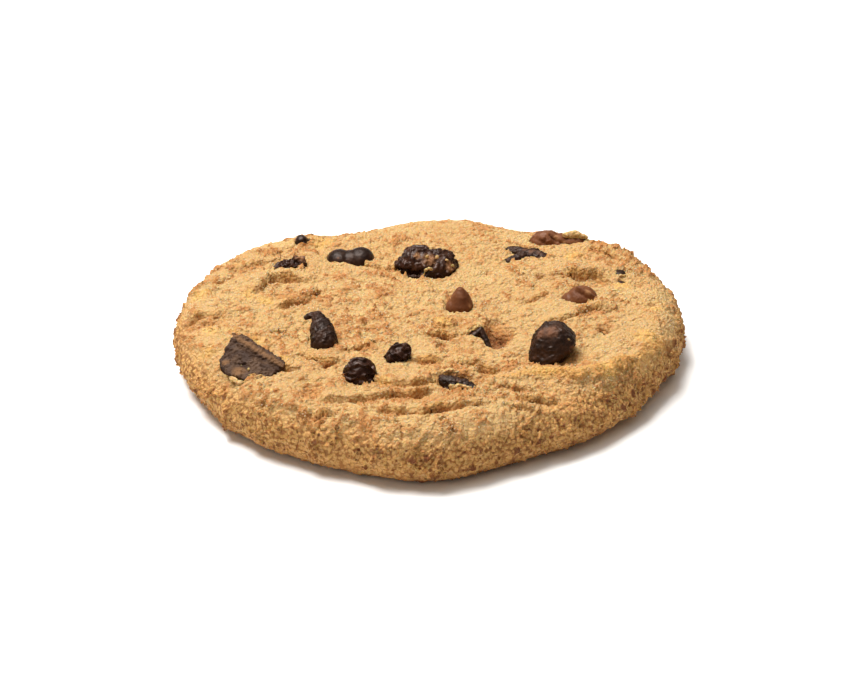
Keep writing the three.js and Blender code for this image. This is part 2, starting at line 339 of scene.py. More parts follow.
def ring_points(radius, height, spacing):
    """One ring, pushed out or in to the outline: the edge keeps its section and the inside stretches."""
    count = 1 if radius < spacing / 2 else 6 * max(1, round(radius / spacing))
    angles = np.arange(count) / count * 2 * np.pi
    rim = rim_radius(angles)
    edge = SHOULDER if height > BULGE_HEIGHT else UNDER_TUCK
    inner = MEAN_RADIUS - edge
    out = np.where(radius < inner, radius * (rim - edge) / inner, rim - (MEAN_RADIUS - radius))
    return np.stack([out * np.cos(angles), out * np.sin(angles), np.full(count, height)], 1)


def bridge(lower, lower_count, upper, upper_count):
    """Triangles between two rings of points that start at the same angle."""
    faces, i, j = [], 0, 0
    while i < lower_count or j < upper_count:
        step_lower = j >= upper_count or (i < lower_count and (i + 1) * upper_count <= (j + 1) * lower_count)
        a, b = lower + i % lower_count, upper + j % upper_count
        if step_lower:
            faces.append((a, lower + (i + 1) % lower_count, b))
            i += 1
        else:
            faces.append((a, upper + (j + 1) % upper_count, b))
            j += 1
    return [face for face in faces if len(set(face)) == 3]


rings = [ring_points(r, z, spacing) for r, z, spacing in stations]
rings.append(np.array([[0.0, 0.0, 0.0]]))
starts = np.cumsum([0] + [len(ring) for ring in rings])
dough_faces = []
for k in range(len(rings) - 1):
    dough_faces += bridge(starts[k], len(rings[k]), starts[k + 1], len(rings[k + 1]))
dough_points = np.concatenate(rings)
print(len(rings), "rings,", len(dough_points), "points,", len(dough_faces), "triangles")

# %% [markdown]
# ## Folds, cracks and hollows
#
# As the edge sets and the middle sinks, the skin of the dough wrinkles. A fold rises gently from behind and
# drops steeply at its front, with a crease at the foot of the drop. A crack is a narrow valley. Both follow a
# short path across the top, so one helper gives every point its distance to a path: it is positive on the
# path's right, which is the front when the path runs from left to right. Hollows and swellings are round, and
# a bell curve does for them. All of them are bent a little by a noise, for dough never tears along a line.

# %% Distance to a path
def wobble(points, size, amount):
    """The same points, each moved sideways by a smooth noise."""
    moves = [noise.noise_vector(Vector((x / size, y / size, z / size))) for x, y, z in points]
    return points[:, :2] + amount * np.array(moves)[:, :2]


def path_field(flat, path):
    """For each flat point: signed distance to the path, and a weight that fades to nought at its ends."""
    path = np.array(path, float)
    lengths = np.hypot(*np.diff(path, axis=0).T)
    total = lengths.sum()
    best = np.full(len(flat), 1e9)
    signed = np.zeros(len(flat))
    share = np.zeros(len(flat))
    done = 0.0
    for a, b, length in zip(path[:-1], path[1:], lengths):
        along = (b - a) / length
        t = np.clip((flat - a) @ along, 0, length)
        away = flat - (a + t[:, None] * along)
        distance = np.hypot(*away.T)
        right = along[1] * away[:, 0] - along[0] * away[:, 1]
        nearer = distance < best
        best[nearer] = distance[nearer]
        signed[nearer] = (np.sign(right) * distance)[nearer]
        share[nearer] = ((done + t) / total)[nearer]
        done += length
    return signed, np.sqrt(np.clip(np.sin(np.pi * share), 0, 1))


def bell(flat, place, spread, height):
    return height * np.exp(-(((flat - place) / spread) ** 2).sum(1))


# %% Where the folds are
# Each fold has its path in mm, how high it stands, how deep its crease is and how far back it rises.
FOLDS = [
    ([(-31.6, 8.6), (-30.6, 12.2), (-28.8, 14.4), (-25.6, 15.4), (-22.6, 14.6), (-21.4, 12.6)], 1.0, 0.75,
    3.2),
    ([(-28.6, 4.2), (-26, 4.9), (-23.4, 7), (-21.2, 9.2), (-19.4, 9.8)], 0.7, 0.5, 2.0),
    ([(-43.9, 0.4), (-41, 1.3), (-37.2, 1), (-35.2, -1.2)], 0.6, 0.7, 2.6),
    ([(21.6, 17.2), (24.2, 17.6), (27.5, 16), (30.8, 15.7), (34, 13.4)], 0.9, 0.7, 3.0),
    ([(25.4, 0.6), (27.6, 2.2), (30.4, 2.8), (32.6, 1.6)], 0.9, 0.6, 2.2),
    ([(20, -3.4), (22.8, -1.2), (25.6, 1.2)], 0.6, 0.5, 1.8),
    ([(-19.6, -31.4), (-14.4, -31.2), (-8.5, -29.8), (-3, -28.6), (2, -26)], 0.8, 0.75, 3.0),
    ([(-10.6, -33.6), (-6.6, -35.8), (-1.4, -36.2), (4, -33.8), (9.6, -32)], 0.7, 0.55, 2.4),
    ([(11, -32.2), (15, -31.8), (19, -31.8)], 0.5, 0.5, 1.6),
    ([(12, -26.6), (15.2, -28.8), (18.8, -28.9), (23, -28)], 0.6, 0.5, 2.0),
    ([(20.4, -31.2), (24.5, -31), (29.6, -28.6)], 0.5, 0.5, 1.8),
    ([(6, -7.2), (8.6, -5.2), (10.6, -5.6)], 0.8, 0.3, 1.8),
    ([(-29.6, -18.2), (-26.7, -19.8), (-22, -19.8)], 0.6, 0.5, 2.2),
    ([(-23, -13.8), (-20.4, -16), (-17.3, -18), (-14.8, -17.4)], 0.5, 0.5, 2.0),
    ([(-15.4, -13.4), (-12.4, -12.2), (-9.6, -10.6)], 0.5, 0.4, 1.6),
    ([(-10, -24), (-6.4, -26.2), (-2.6, -25.8), (0.6, -22.6)], 0.7, 0.6, 2.0),
    ([(10, -25.2), (13.6, -26.2), (17.8, -27)], 0.5, 0.5, 1.6),
    ([(4.2, -16.6), (6.8, -17.8), (9.8, -17.2)], 0.6, 0.6, 1.8),
    ([(8, -19.6), (10.4, -21), (12.2, -20.6)], 0.6, 0.5, 1.4),
    ([(-3, -16.2), (-0.6, -17.6), (1.8, -17.4)], 0.5, 0.5, 1.6),
    ([(-24, -32.6), (-20, -34.6), (-15, -35)], 0.5, 0.5, 2.0),
    ([(16, 5.6), (19, 8.4), (22, 9.2)], 0.4, 0.4, 1.6),
    ([(-14, 22), (-8, 19.6), (-2, 20.4)], 0.4, 0.4, 2.2),
    ([(28, 28.4), (33, 25.6), (37, 21)], 0.5, 0.5, 2.4),
    ([(-36, 17), (-32, 20.6), (-27, 22.4)], 0.5, 0.4, 2.4),
    ([(-0.6, -5.4), (0.8, -7.1), (3.4, -7.3), (5, -5.6)], 0.5, 0.7, 1.0),
]
CREST = [(9.6, -25.6), (15.2, -22.8), (20, -21.6), (25.6, -22.8), (31.2, -20.4), (36.4, -14.6), (40, -10),
    (42.4, -3)]
CRACKS = [
    ([(-37.6, 5), (-35.4, 6.6), (-33.6, 7.2)], 0.8),
    ([(-37.4, 21.2), (-35.4, 23), (-34, 24.4)], 0.7),
    ([(-39.2, 12.6), (-37, 14.8), (-34.6, 16.4)], 0.6),
    ([(-29.8, -5.4), (-27.2, -6.3), (-25, -4)], 1.0),
    ([(-31.6, -7.9), (-29.8, -6.2)], 0.8),
    ([(19.2, 15), (20.4, 16.4), (21.6, 17.6)], 0.8),
    ([(-5.6, -1), (-3.6, 0.7), (-1.2, 0.5)], 0.6),
    ([(-7, 2.2), (-6.1, 0), (-5.8, -2.6)], 0.6),
    ([(-12.6, -3.8), (-11.4, -5.4), (-10, -7.1)], 0.6),
    ([(-16.4, -10.3), (-14, -8.4), (-12, -7.6)], 0.5),
    ([(7.4, 5), (10.4, 6.2), (12.9, 8.6)], 0.6),
    ([(0, -9.4), (1.7, -11.5), (3.7, -14.2)], 0.8),
    ([(-16.8, -33.4), (-13.2, -33.2)], 0.6),
    ([(-19.6, -35), (-18.4, -36.6), (-18.2, -38.4)], 1.1),
    ([(-15.8, -38.2), (-15.2, -40), (-15.4, -41.4)], 1.0),
    ([(-5, -38.6), (-4.4, -40.6), (-4.6, -42.2)], 1.0),
    ([(0.6, -38), (2.6, -39.4), (4.2, -41)], 1.0),
    ([(20.8, -30.6), (21.8, -33), (22, -35.2)], 1.1),
    ([(26, -31.4), (26.6, -33.6), (27.6, -35.2)], 0.9),
    ([(30, -27), (31.2, -29.4)], 0.7),
    ([(-27, -29.6), (-28.4, -31.6), (-29.8, -33)], 0.9),
    ([(-34.6, -22), (-36.6, -23.8), (-38, -24.4)], 0.9),
    ([(35, -16), (37.6, -17.4), (39.6, -18)], 0.8),
]
# Each hollow (negative) or swelling has its middle, its spread along X and Y, and its height, all in mm.
HOLLOWS = [
    ((20.7, -15.5), (6.5, 6), -1.0), ((-39.2, -1.4), (4.2, 3), -0.6),
    ((-25.5, 8.8), (3.8, 2.8), -0.9), ((2.2, -29.9), (15, 3), -0.7), ((4.4, -23.8), (4.5, 3), -0.6),
    ((-8.8, -11.4), (9, 6), 0.5), ((6.2, 37.8), (8, 6), 0.6), ((18.5, 39.6), (5, 5), -0.6),
    ((-13.2, 37.8), (8, 5), -0.4),
    ((-20.4, -28), (2, 2.8), -0.7), ((-11.4, -39.4), (4, 2.5), -0.7), ((-22.3, -5.3), (1.8, 2), -0.9),
    ((40, -8), (2, 1.6), 0.8),
    ((-3.4, 32.2), (0.7, 0.6), -0.8), ((-14.8, 10.2), (0.9, 0.7), -0.8), ((1.2, 10.6), (0.8, 0.7), -0.8),
    ((-9.8, 5), (0.8, 0.6), -0.7),
    ((10.4, 18.1), (0.8, 0.7), -0.8), ((9.1, 21), (0.7, 0.6), -0.7), ((39.2, 4.6), (1, 1), -0.6),
    ((37.9, 12.7), (1, 0.8), -0.7),
    ((33.1, 7.8), (0.9, 0.8), -0.6), ((33.8, 2.6), (1, 0.8), -0.7), ((-41.8, 10.6), (2.2, 2.6), 0.5),
    ((28.4, 13.4), (4.2, 1.6), -0.6),
    ((-23.4, 27.8), (2.2, 1.6), -0.5), ((-22, 32.2), (3, 1.6), 0.8), ((18.5, 25.6), (5.2, 3), -0.5),
]
# Pits and one knob have steep walls. They are given like hollows.
PITS = [
    ((2.3, -4.4), (2.2, 2.2), 1.5),
    ((11.9, -6.2), (2.7, 4.3), -3.0), ((30.4, -5.4), (1.5, 1.8), -1.6), ((-27.2, -6), (2.6, 0.8), -1.1),
    ((-30.8, -7.4), (1.2, 0.7), -0.8),
    ((-20.4, -28), (2.4, 2.2), -0.7), ((-39.4, -2.2), (3.4, 1.8), -0.8), ((2.2, -10.6), (1.2, 2), -0.9),
    ((4.8, -24.0), (4.5, 2.7), -1.5),
    ((28.0, 13.2), (3.6, 1.1), -0.6), ((20.4, 16.6), (0.8, 1), -0.8), ((3.6, 6.6), (0.8, 2.2), -1.0),
    ((-23.2, 7.2), (2.6, 1.4), -0.6),
]
# Golden stains, each with its middle and radius in mm.
STAINS = [(-32, 8.2, 2.0), (-29.4, 6, 1.8), (-38.8, -6, 2.2), (-35, -6.2, 1.6), (-39, -12.5, 2.2),
    (-30, -10, 2.0), (-41.2, 8, 2.6), (-25.5, -16.5, 1.8),
    (38, -8, 3.0), (30, -20, 2.4), (20, -21, 2.6), (35, 12, 1.8), (26, 24, 2.4), (40, 3, 2.0),
    (-20, 30, 2.4), (2.3, -4.6, 2.4), (-8, -26, 2.0), (-33, -22, 2.4)]
print(len(FOLDS), "folds,", len(CRACKS), "cracks and", len(HOLLOWS), "hollows and swellings")

# %% Shape the top
bent = wobble(dough_points, 3.4, 0.9)
bent += wobble(dough_points, 1.1, 0.35) - dough_points[:, :2]
on_top = np.clip((dough_points[:, 2] - BULGE_HEIGHT) / (THICKNESS - BULGE_HEIGHT), 0, 1) ** 0.7
lift = np.zeros(len(dough_points))
crease = np.zeros(len(dough_points))
crest = np.zeros(len(dough_points))
DROP = 0.5  # how wide a fold's steep front is
RISE = 1.85  # how much of a fold's height it gets behind its front
FOOT = 1.1  # and how much of its depth the crease at its foot gets
MIDDLE_SINKS = 0.5  # how far the middle sank, in mm
strength = np.array([noise.noise(Vector((x / 4, y / 4, 7))) for x, y, _ in dough_points]) * 0.9 + 0.8
for path, height, depth, back in FOLDS:
    signed, weight = path_field(bent, path)
    weight *= np.clip(strength, 0.7, 1.35)
    behind = RISE * height * np.exp(np.minimum(signed, 0) / back)
    ahead = np.clip(signed / DROP, 0, 1)
    foot = FOOT * depth * np.exp(-np.maximum(signed - DROP, 0) / (0.6 * back)) * (signed > 0)
    foot += 0.35 * depth * np.exp(-(((signed - DROP) / 0.35) ** 2))
    lift += weight * (behind * (1 - ahead) - foot * ahead * (signed > 0))
    crease = np.maximum(crease, weight * np.exp(-(((signed - DROP) / 0.32) ** 2)))
    crest = np.maximum(crest, weight * np.exp(-(((signed - 0.25) / 0.5) ** 2)))
signed, weight = path_field(bent, CREST)
lift += weight * (1.0 * np.exp(-((signed + 0.6) / 1.8) ** 2) - 1.9 * np.clip(signed / 4.5, 0, 1) ** 0.8)
crest = np.maximum(crest, 1.6 * weight * np.exp(-(((signed + 0.3) / 1.3) ** 2)))
for path, depth in CRACKS:
    signed, weight = path_field(bent, path)
    valley = weight * np.exp(-((signed / 0.42) ** 2))
    lift -= depth * valley
    crease = np.maximum(crease, valley)
# Deep hollows and pits get painted shade: this number says how much brown is painted in them.
tint = np.zeros(len(dough_points))
for place, spread, height in HOLLOWS:
    lift += bell(bent, np.array(place), np.array(spread), height)
    if height < -0.5:
        tint = np.maximum(tint, bell(bent, np.array(place), np.array(spread) * 1.1,
            min(1, 0.5 - 0.4 * height)))
for place, spread, height in PITS:
    reach = ((((bent - np.array(place)) / np.array(spread)) ** 2).sum(1)) ** 2
    lift += height * np.exp(-reach)
    if height < 0:
        tint = np.maximum(tint, min(1.8, 0.6 - 0.42 * height) * np.exp(-reach / 1.6))
stain = np.zeros(len(dough_points))
for x, y, radius in STAINS:
    stain = np.maximum(stain, bell(bent, np.array((x, y)), np.array((radius, radius)), 1))
lift -= MIDDLE_SINKS * np.clip(1 - (np.hypot(*dough_points[:, :2].T) / MEAN_RADIUS) ** 2, 0, 1)
dough_points[:, 2] += lift * on_top

dough = new_object("dough", dough_points, dough_faces)
store(dough.data, "side", np.clip(1 - (dough_points[:, 2] - BULGE_HEIGHT - 2.4) / 2.4, 0, 1))
store(dough.data, "crease", crease * on_top)
store(dough.data, "crest", crest * on_top)
store(dough.data, "tint", tint * on_top)
store(dough.data, "stain", stain * on_top)
store(dough.data, "shade", np.clip(1 - dough_points[:, 2] / 6.5, 0, 1))
print("the top moves between", lift.min().round(2), "and", lift.max().round(2), "mm")

# %% [markdown]
# ## The crumb's relief
#
# The small relief follows rules all over the dough, so a Geometry Nodes tree makes it. It adds soft lumps,
# round clods with narrow seams between them, patches of rubble, the joints between clots of dough, and fine
# grains. On the side, where the dough tore open as it spread, it digs pores as well. The height of that
# relief is stored with each point, because low places are painted browner than high ones, as painted shade.

# %% Build the relief tree
relief, given = new_tree("crumb_relief", Lumps=1.5, Clods=4.0, Rubble=0.9, Clots=0.4, Cracks=0.7,
    Domes=0.36, Grains=0.14, Pores=0.55)
place = put(relief, "GeometryNodeInputPosition").outputs[0]


def named(tree, name):
    return put(tree, "GeometryNodeInputNamedAttribute", {"Name": name},
        data_type="FLOAT").outputs["Attribute"]


def times(tree, *values):
    product = values[0]
    for value in values[1:]:
        product = calc(tree, "MULTIPLY", product, value)
    return product


side_share = named(relief, "side")
warp = put(relief, "ShaderNodeTexNoise", {"Vector": place, "Scale": 0.9, "Detail": 2.0}).outputs["Color"]
warp = put(relief, "ShaderNodeVectorMath", {0: warp, 1: (0.5, 0.5, 0.5)}, operation="SUBTRACT").outputs[0]
warp = put(relief, "ShaderNodeVectorMath", {0: warp, "Scale": 1.1}, operation="SCALE").outputs[0]
warped = put(relief, "ShaderNodeVectorMath", {0: place, 1: warp}, operation="ADD").outputs[0]

lumps = centred(relief, cloud(relief, place, 5.5, 1, 3.0), given["Lumps"])
billow = calc(relief, "ABSOLUTE", calc(relief, "SUBTRACT", cloud(relief, warped, 3.6, 11, 2.0, 0.55), 0.5))
billow = calc(relief, "SUBTRACT", calc(relief, "MINIMUM", billow, 0.13), 0.09)
clods = times(relief, billow, given["Clods"],
    fade(relief, cloud(relief, place, 9.0, 12), 0.38, 0.58, 0.25, 1.0),
    fade(relief, side_share, 0.0, 1.0, 1.0, 0.5))
patch = fade(relief, cloud(relief, place, 8.0, 2, 3.0), 0.47, 0.60, 0.12, 1.0)
rough_patch = calc(relief, "MAXIMUM", patch, times(relief, side_share, 0.3))
rubble = times(relief, centred(relief, cloud(relief, warped, 1.5, 3, 3.5, 0.62), given["Rubble"]),
    rough_patch)
rubble = calc(relief, "MINIMUM", rubble, 0.07)

clot_gap = cells(relief, warped, 1.7, 4, "DISTANCE_TO_EDGE")
clot_patch = fade(relief, cloud(relief, place, 4.0, 5, 3.0), 0.5, 0.62)
clot_patch = calc(relief, "MULTIPLY", calc(relief, "MAXIMUM", clot_patch, times(relief, side_share, 0.2)),
    calc(relief, "MAXIMUM", patch, side_share))
gap = calc(relief, "MULTIPLY", fade(relief, clot_gap, 0.0, 0.24, 1.0, 0.0), clot_patch)

vein = calc(relief, "ABSOLUTE", calc(relief, "SUBTRACT", cloud(relief, place, 5.2, 6, 3.0, 0.6), 0.5))
vein_patch = fade(relief, cloud(relief, place, 9.0, 7), 0.46, 0.56)
vein = calc(relief, "MULTIPLY", fade(relief, vein, 0.0, 0.024, 1.0, 0.0), vein_patch)
domes = calc(relief, "SUBTRACT", 0.2, calc(relief, "POWER", cells(relief, warped, 0.9, 13), 2.0))
grains = calc(relief, "ADD", calc(relief, "MULTIPLY", domes, given["Domes"]),
    centred(relief, cloud(relief, place, 0.7, 8, 2.0, 0.7), given["Grains"]))
grains = calc(relief, "MULTIPLY", grains,
    fade(relief, calc(relief, "MAXIMUM", patch, side_share), 0.1, 1.0, 0.6, 1.2))


def pits(size, seed, least, most, on_top):
    """Round pits, one to a cell, each with its own radius; few on the top and many on the side."""
    middle = cells(relief, warped, size, seed)
    reach = fade(relief, cells(relief, warped, size, seed, output="Color"), least, 0.8, 0.0, most)
    hole = fade(relief, calc(relief, "SUBTRACT", reach, middle), 0.0, 0.16)
    return calc(relief, "MULTIPLY", hole,
        calc(relief, "ADD", calc(relief, "MULTIPLY", side_share, 1 - on_top), on_top))


pore = calc(relief, "MAXIMUM", pits(2.1, 9, 0.45, 0.40, 0.1),
    calc(relief, "MULTIPLY", pits(1.15, 10, 0.45, 0.5, 0.3), 0.7))
height = calc(relief, "ADD", calc(relief, "ADD", rubble, grains), clods)
for hollow, depth in ((gap, given["Clots"]), (vein, given["Cracks"]), (pore, given["Pores"])):
    height = calc(relief, "SUBTRACT", height, calc(relief, "MULTIPLY", hollow, depth))
full_height = calc(relief, "ADD", height, lumps)
full_height = calc(relief, "MULTIPLY", full_height, fade(relief, named(relief, "shade"), 0.6, 1.0, 1.0, 0.2))
from_front = put(relief, "ShaderNodeSeparateXYZ", {0: place}).outputs["Y"]
full_height = calc(relief, "MULTIPLY", full_height, fade(relief, from_front, 26.0, 38.0, 1.0, 0.4))
normal = put(relief, "GeometryNodeInputNormal").outputs[0]
push = put(relief, "ShaderNodeVectorMath", {0: normal, "Scale": full_height}, operation="SCALE").outputs[0]
result = given["Geometry"]
for name, value in (("relief", height), ("pore", pore)):
    sockets = {"Geometry": result, "Name": name, "Value": value}
    result = put(relief, "GeometryNodeStoreNamedAttribute", sockets, data_type="FLOAT").outputs[0]
close_tree(relief, put(relief, "GeometryNodeSetPosition", {"Geometry": result, "Offset": push}).outputs[0])
apply_tree(dough, relief)
heights = np.empty(len(dough.data.vertices))
dough.data.attributes["relief"].data.foreach_get("value", heights)
print("relief from", heights.min().round(2), "to", heights.max().round(2), "mm, spread",
    heights.std().round(3))

# %% [markdown]
# ## Materials
#
# Baked dough is pale where the skin dried on top and golden where it stands steep. Shade is painted into its
# colour too: creases, cracks, pits, pores, the gaps between grains, low places of the relief and the lower
# side are painted caramel to brown, as painted shade. So its colour follows numbers that each point carries,
# above all how steep it is, how low it lies, and how deep in a crease. Noise only blurs the borders. A bump
# adds the finest grain, which would be wasteful as points. A little light travels under the surface of dough,
# as it does in bread.

# %% Material helpers
def new_material(name):
    material = bpy.data.materials.new(name)
    material.use_nodes = True
    tree = material.node_tree
    shader = tree.nodes["Principled BSDF"]
    place = put(tree, "ShaderNodeTexCoord").outputs["Object"]
    place = put(tree, "ShaderNodeVectorMath", {0: place, "Scale": 1 / MM}, operation="SCALE").outputs[0]
    return material, tree, shader, place


def blend(tree, share, first, second):
    """Mixes two colours."""
    return put(tree, "ShaderNodeMix", {0: share, 6: first, 7: second}, data_type="RGBA").outputs[2]


def rgb(red, green, blue):
    return (red, green, blue, 1)


def own(tree, name):
    return put(tree, "ShaderNodeAttribute", attribute_name=name).outputs["Fac"]


def bump(tree, shader, height, distance, strength=1.0):
    sockets = {"Height": height, "Distance": distance * MM, "Strength": strength}
    tree.links.new(put(tree, "ShaderNodeBump", sockets).outputs[0], shader.inputs["Normal"])


# %% Baked dough
DRY, GOLD = rgb(0.63, 0.530, 0.345), rgb(0.58, 0.40, 0.170)
CARAMEL, BROWN = rgb(0.43, 0.180, 0.050), rgb(0.145, 0.040, 0.010)
dough_paint, tree, shader, place = new_material("baked_dough")
blotch = cloud(tree, place, 7, 21, 3)
speck = cloud(tree, place, 0.7, 22, 3, 0.7)
grit = cloud(tree, place, 0.32, 26, 3, 0.7)
steep = calc(tree, "ADD", own(tree, "steep"), centred(tree, blotch, 0.5))
steep = calc(tree, "ADD", steep, centred(tree, speck, 0.45))
tone = blend(tree, fade(tree, steep, 0.12, 0.7), DRY, GOLD)
tone = blend(tree, fade(tree, steep, 0.6, 1.2, 0.0, 0.45), tone, CARAMEL)
tone = blend(tree, fade(tree, cloud(tree, place, 8, 25, 3), 0.56, 0.7, 0.0, 0.5), tone, GOLD)
# Painted shade: low places of the relief are painted caramel.
low = calc(tree, "ADD", calc(tree, "MULTIPLY", own(tree, "relief"), -2.2), centred(tree, speck, 0.8))
tone = blend(tree, fade(tree, low, 0.25, 1.1, 0.0, 0.85), tone, CARAMEL)
tone = blend(tree, fade(tree, grit, 0.5, 0.68, 0.0, 0.22), tone, GOLD)
tone = blend(tree, fade(tree, grit, 0.44, 0.3, 0.0, 0.3), tone, rgb(0.80, 0.68, 0.46))
grain_cell = cells(tree, place, 0.62, 24)
# Painted shade: the gaps between grains are painted caramel, and brown on the side.
grain_gap_shade = fade(tree, grain_cell, 0.40, 0.72)
grain_gap_shade = calc(tree, "MULTIPLY", grain_gap_shade, calc(tree, "ADD", calc(tree, "MULTIPLY", own(tree, "side"), 0.4), 0.2))
tone = blend(tree, calc(tree, "MULTIPLY", own(tree, "side"), 0.8), tone, rgb(0.62, 0.335, 0.105))
tone = blend(tree, grain_gap_shade, tone, CARAMEL)
side_gap_shade = calc(tree, "MULTIPLY", fade(tree, calc(tree, "ADD", grain_cell, centred(tree, speck, 0.5)),
    0.46, 0.78), own(tree, "side"))
tone = blend(tree, calc(tree, "MULTIPLY", side_gap_shade, 0.5), tone, BROWN)
crested = calc(tree, "ADD", own(tree, "crest"), centred(tree, speck, 0.5))
tone = blend(tree, fade(tree, crested, 0.3, 1.0, 0.0, 0.65), tone, rgb(0.56, 0.285, 0.075))
# Painted shade: the lower side is painted caramel, and brown nearest the table.
shade = calc(tree, "ADD", own(tree, "shade"), centred(tree, blotch, 0.3))
tone = blend(tree, fade(tree, shade, 0.3, 1.05, 0.0, 0.75), tone, CARAMEL)
tone = blend(tree, fade(tree, shade, 0.85, 1.15, 0.0, 0.65), tone, BROWN)
# Painted shade: deep hollows and pits are painted caramel, and brown at their bottoms.
hollow_shade_level = calc(tree, "ADD", own(tree, "tint"), centred(tree, speck, 0.9))
tone = blend(tree, fade(tree, hollow_shade_level, 0.25, 1.0, 0.0, 0.7), tone, CARAMEL)
tone = blend(tree, fade(tree, hollow_shade_level, 0.95, 1.9, 0.0, 0.7), tone, BROWN)
stained = calc(tree, "ADD", own(tree, "stain"), centred(tree, speck, 0.8))
tone = blend(tree, fade(tree, stained, 0.3, 0.9, 0.0, 0.55), tone, rgb(0.66, 0.39, 0.11))
# Painted shade: creases and cracks are painted caramel, and brown where they are deepest.
crease_shade = calc(tree, "ADD", own(tree, "crease"), centred(tree, speck, 0.4))
tone = blend(tree, fade(tree, crease_shade, 0.25, 0.8, 0.0, 0.9), tone, CARAMEL)
tone = blend(tree, fade(tree, crease_shade, 0.7, 1.1, 0.0, 0.75), tone, BROWN)

# Pinholes finer than the mesh can carry: many on the side and few on top. Pores and pinholes are painted
# brown, as painted shade in the holes.
pin_middle = cells(tree, place, 0.95, 27)
pin_reach = fade(tree, cells(tree, place, 0.95, 27, output="Color"), 0.42, 0.8, 0.0, 0.36)
pin_reach = calc(tree, "MULTIPLY", pin_reach,
    calc(tree, "ADD", calc(tree, "MULTIPLY", own(tree, "side"), 0.8), 0.2))
pinhole = fade(tree, calc(tree, "SUBTRACT", pin_reach, pin_middle), 0.0, 0.12)
hole = calc(tree, "MAXIMUM", fade(tree, own(tree, "pore"), 0.15, 0.9), calc(tree, "MULTIPLY", pinhole, 0.8))
tone = blend(tree, calc(tree, "MULTIPLY", hole, 0.9), tone, BROWN)
tree.links.new(tone, shader.inputs["Base Color"])
shader.inputs["Roughness"].default_value = 0.8
shader.inputs["Specular IOR Level"].default_value = 0.25
shader.inputs["Subsurface Weight"].default_value = 0.3
shader.inputs["Subsurface Radius"].default_value = (1.0, 0.42, 0.15)
shader.inputs["Subsurface Scale"].default_value = 0.8 * MM
grain_height = calc(tree, "SUBTRACT", cloud(tree, place, 0.45, 23, 3, 0.7), grain_cell)
bump(tree, shader, calc(tree, "SUBTRACT", grain_height, pinhole), 0.5)
dough.data.materials.append(dough_paint)
print("the dough's material has", len(tree.nodes), "nodes")

# %% [markdown]
# ## Pieces modelled like clay
#
# Chips, chunks and raisins are small soft bodies, so we model them the way you would in clay. Lumps are
# pushed together, a voxel remesh melts them into one closed skin, and smoothing takes off the seams. Lumps
# are given in shares of the plain piece's own box, from -1 to 1 on each axis, so that the shape always fills
# its box. Remember that -Y faces us.

# %% Clay helpers
def box_mm(node):
    low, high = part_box(node)
    return np.array(low) / MM, np.array(high) / MM


def lump(place, radii, turn=(0, 0, 0)):
    return [(place, radii, turn)]


def limb(path, thickness, steps=6):
    """Round lumps along a path; the thickness (in mm) runs evenly from its first to its last number."""
    path = np.array(path, float)
    stops = np.linspace(0, len(path) - 1, steps * (len(path) - 1) + 1)
    spots = np.stack([np.interp(stops, range(len(path)), path[:, axis]) for axis in range(3)], 1)
    sizes = np.interp(stops, np.linspace(0, len(path) - 1, len(thickness)), thickness)
    return [(tuple(spot), float(size), None) for spot, size in zip(spots, sizes)]


def clay(name, node, lumps, voxel=0.16, smooth=4):
    """Melts lumps into one closed skin, in mm, about the middle of the node's box."""
    low, high = box_mm(node)
    half = (high - low) / 2
    sculpt = bmesh.new()
    for place, radii, turn in lumps:
        if turn is None:
            size, turn = (radii, radii, radii), (0, 0, 0)
        else:
            size = np.array(radii) * half
        rotation = Matrix.Rotation(math.radians(turn[2]), 4, "Z") @ Matrix.Rotation(math.radians(turn[1]),
            4, "Y")
        rotation = rotation @ Matrix.Rotation(math.radians(turn[0]), 4, "X")
        placed = Matrix.Translation(Vector(np.array(place) * half)) @ rotation @ Matrix.Diagonal((*size, 1))
        bmesh.ops.create_icosphere(sculpt, subdivisions=3, radius=1, matrix=placed)
    return melt(name, sculpt, voxel, smooth)


def melt(name, sculpt, voxel, smooth):
    mesh = bpy.data.meshes.new(name)
    sculpt.to_mesh(mesh)
    sculpt.free()
    piece = bpy.data.objects.new(name, mesh)
    bpy.context.scene.collection.objects.link(piece)
    remesh = piece.modifiers.new("melt", "REMESH")
    remesh.mode = "VOXEL"
    remesh.voxel_size = voxel
    soft = piece.modifiers.new("soft", "SMOOTH")
    soft.iterations = smooth
    bake_modifiers(piece)
    return piece


def block(name, node, corners, voxel=0.16, smooth=3):
    """A broken block: the tightest skin round some corners, with its edges softened."""
    low, high = box_mm(node)
    sculpt = bmesh.new()
    for corner in corners:
        sculpt.verts.new(np.array(corner) * (high - low) / 2)
    bmesh.ops.convex_hull(sculpt, input=sculpt.verts)
    return melt(name, sculpt, voxel, smooth)


def groove(piece, node, path, width, depth):
    """Presses a line into the skin, or with a negative depth raises a ridge along it."""
    low, high = box_mm(node)
    path = np.array(path, float) * (high - low) / 2
    points = points_of(piece.data)
    best = np.full(len(points), 1e9)
    for a, b in zip(path[:-1], path[1:]):
        t = np.clip(((points - a) @ (b - a)) / ((b - a) @ (b - a)), 0, 1)
        best = np.minimum(best, np.linalg.norm(points - a - t[:, None] * (b - a), axis=1))
    normals = np.empty(len(points) * 3)
    piece.data.vertices.foreach_get("normal", normals)
    points -= normals.reshape(-1, 3) * (depth * np.exp(-((best / width) ** 2)))[:, None]
    piece.data.vertices.foreach_set("co", points.ravel())
    piece.data.update()


def mark(piece, node, name, spots):
    """Stores a number that is 1 at each spot (place in box shares, radius in mm) and fades round it."""
    low, high = box_mm(node)
    points = points_of(piece.data)
    value = np.zeros(len(points))
    for place, radius in spots:
        away = np.linalg.norm(points - np.array(place) * (high - low) / 2, axis=1)
        value = np.maximum(value, np.exp(-((away / radius) ** 2)))
    store(piece.data, name, value)


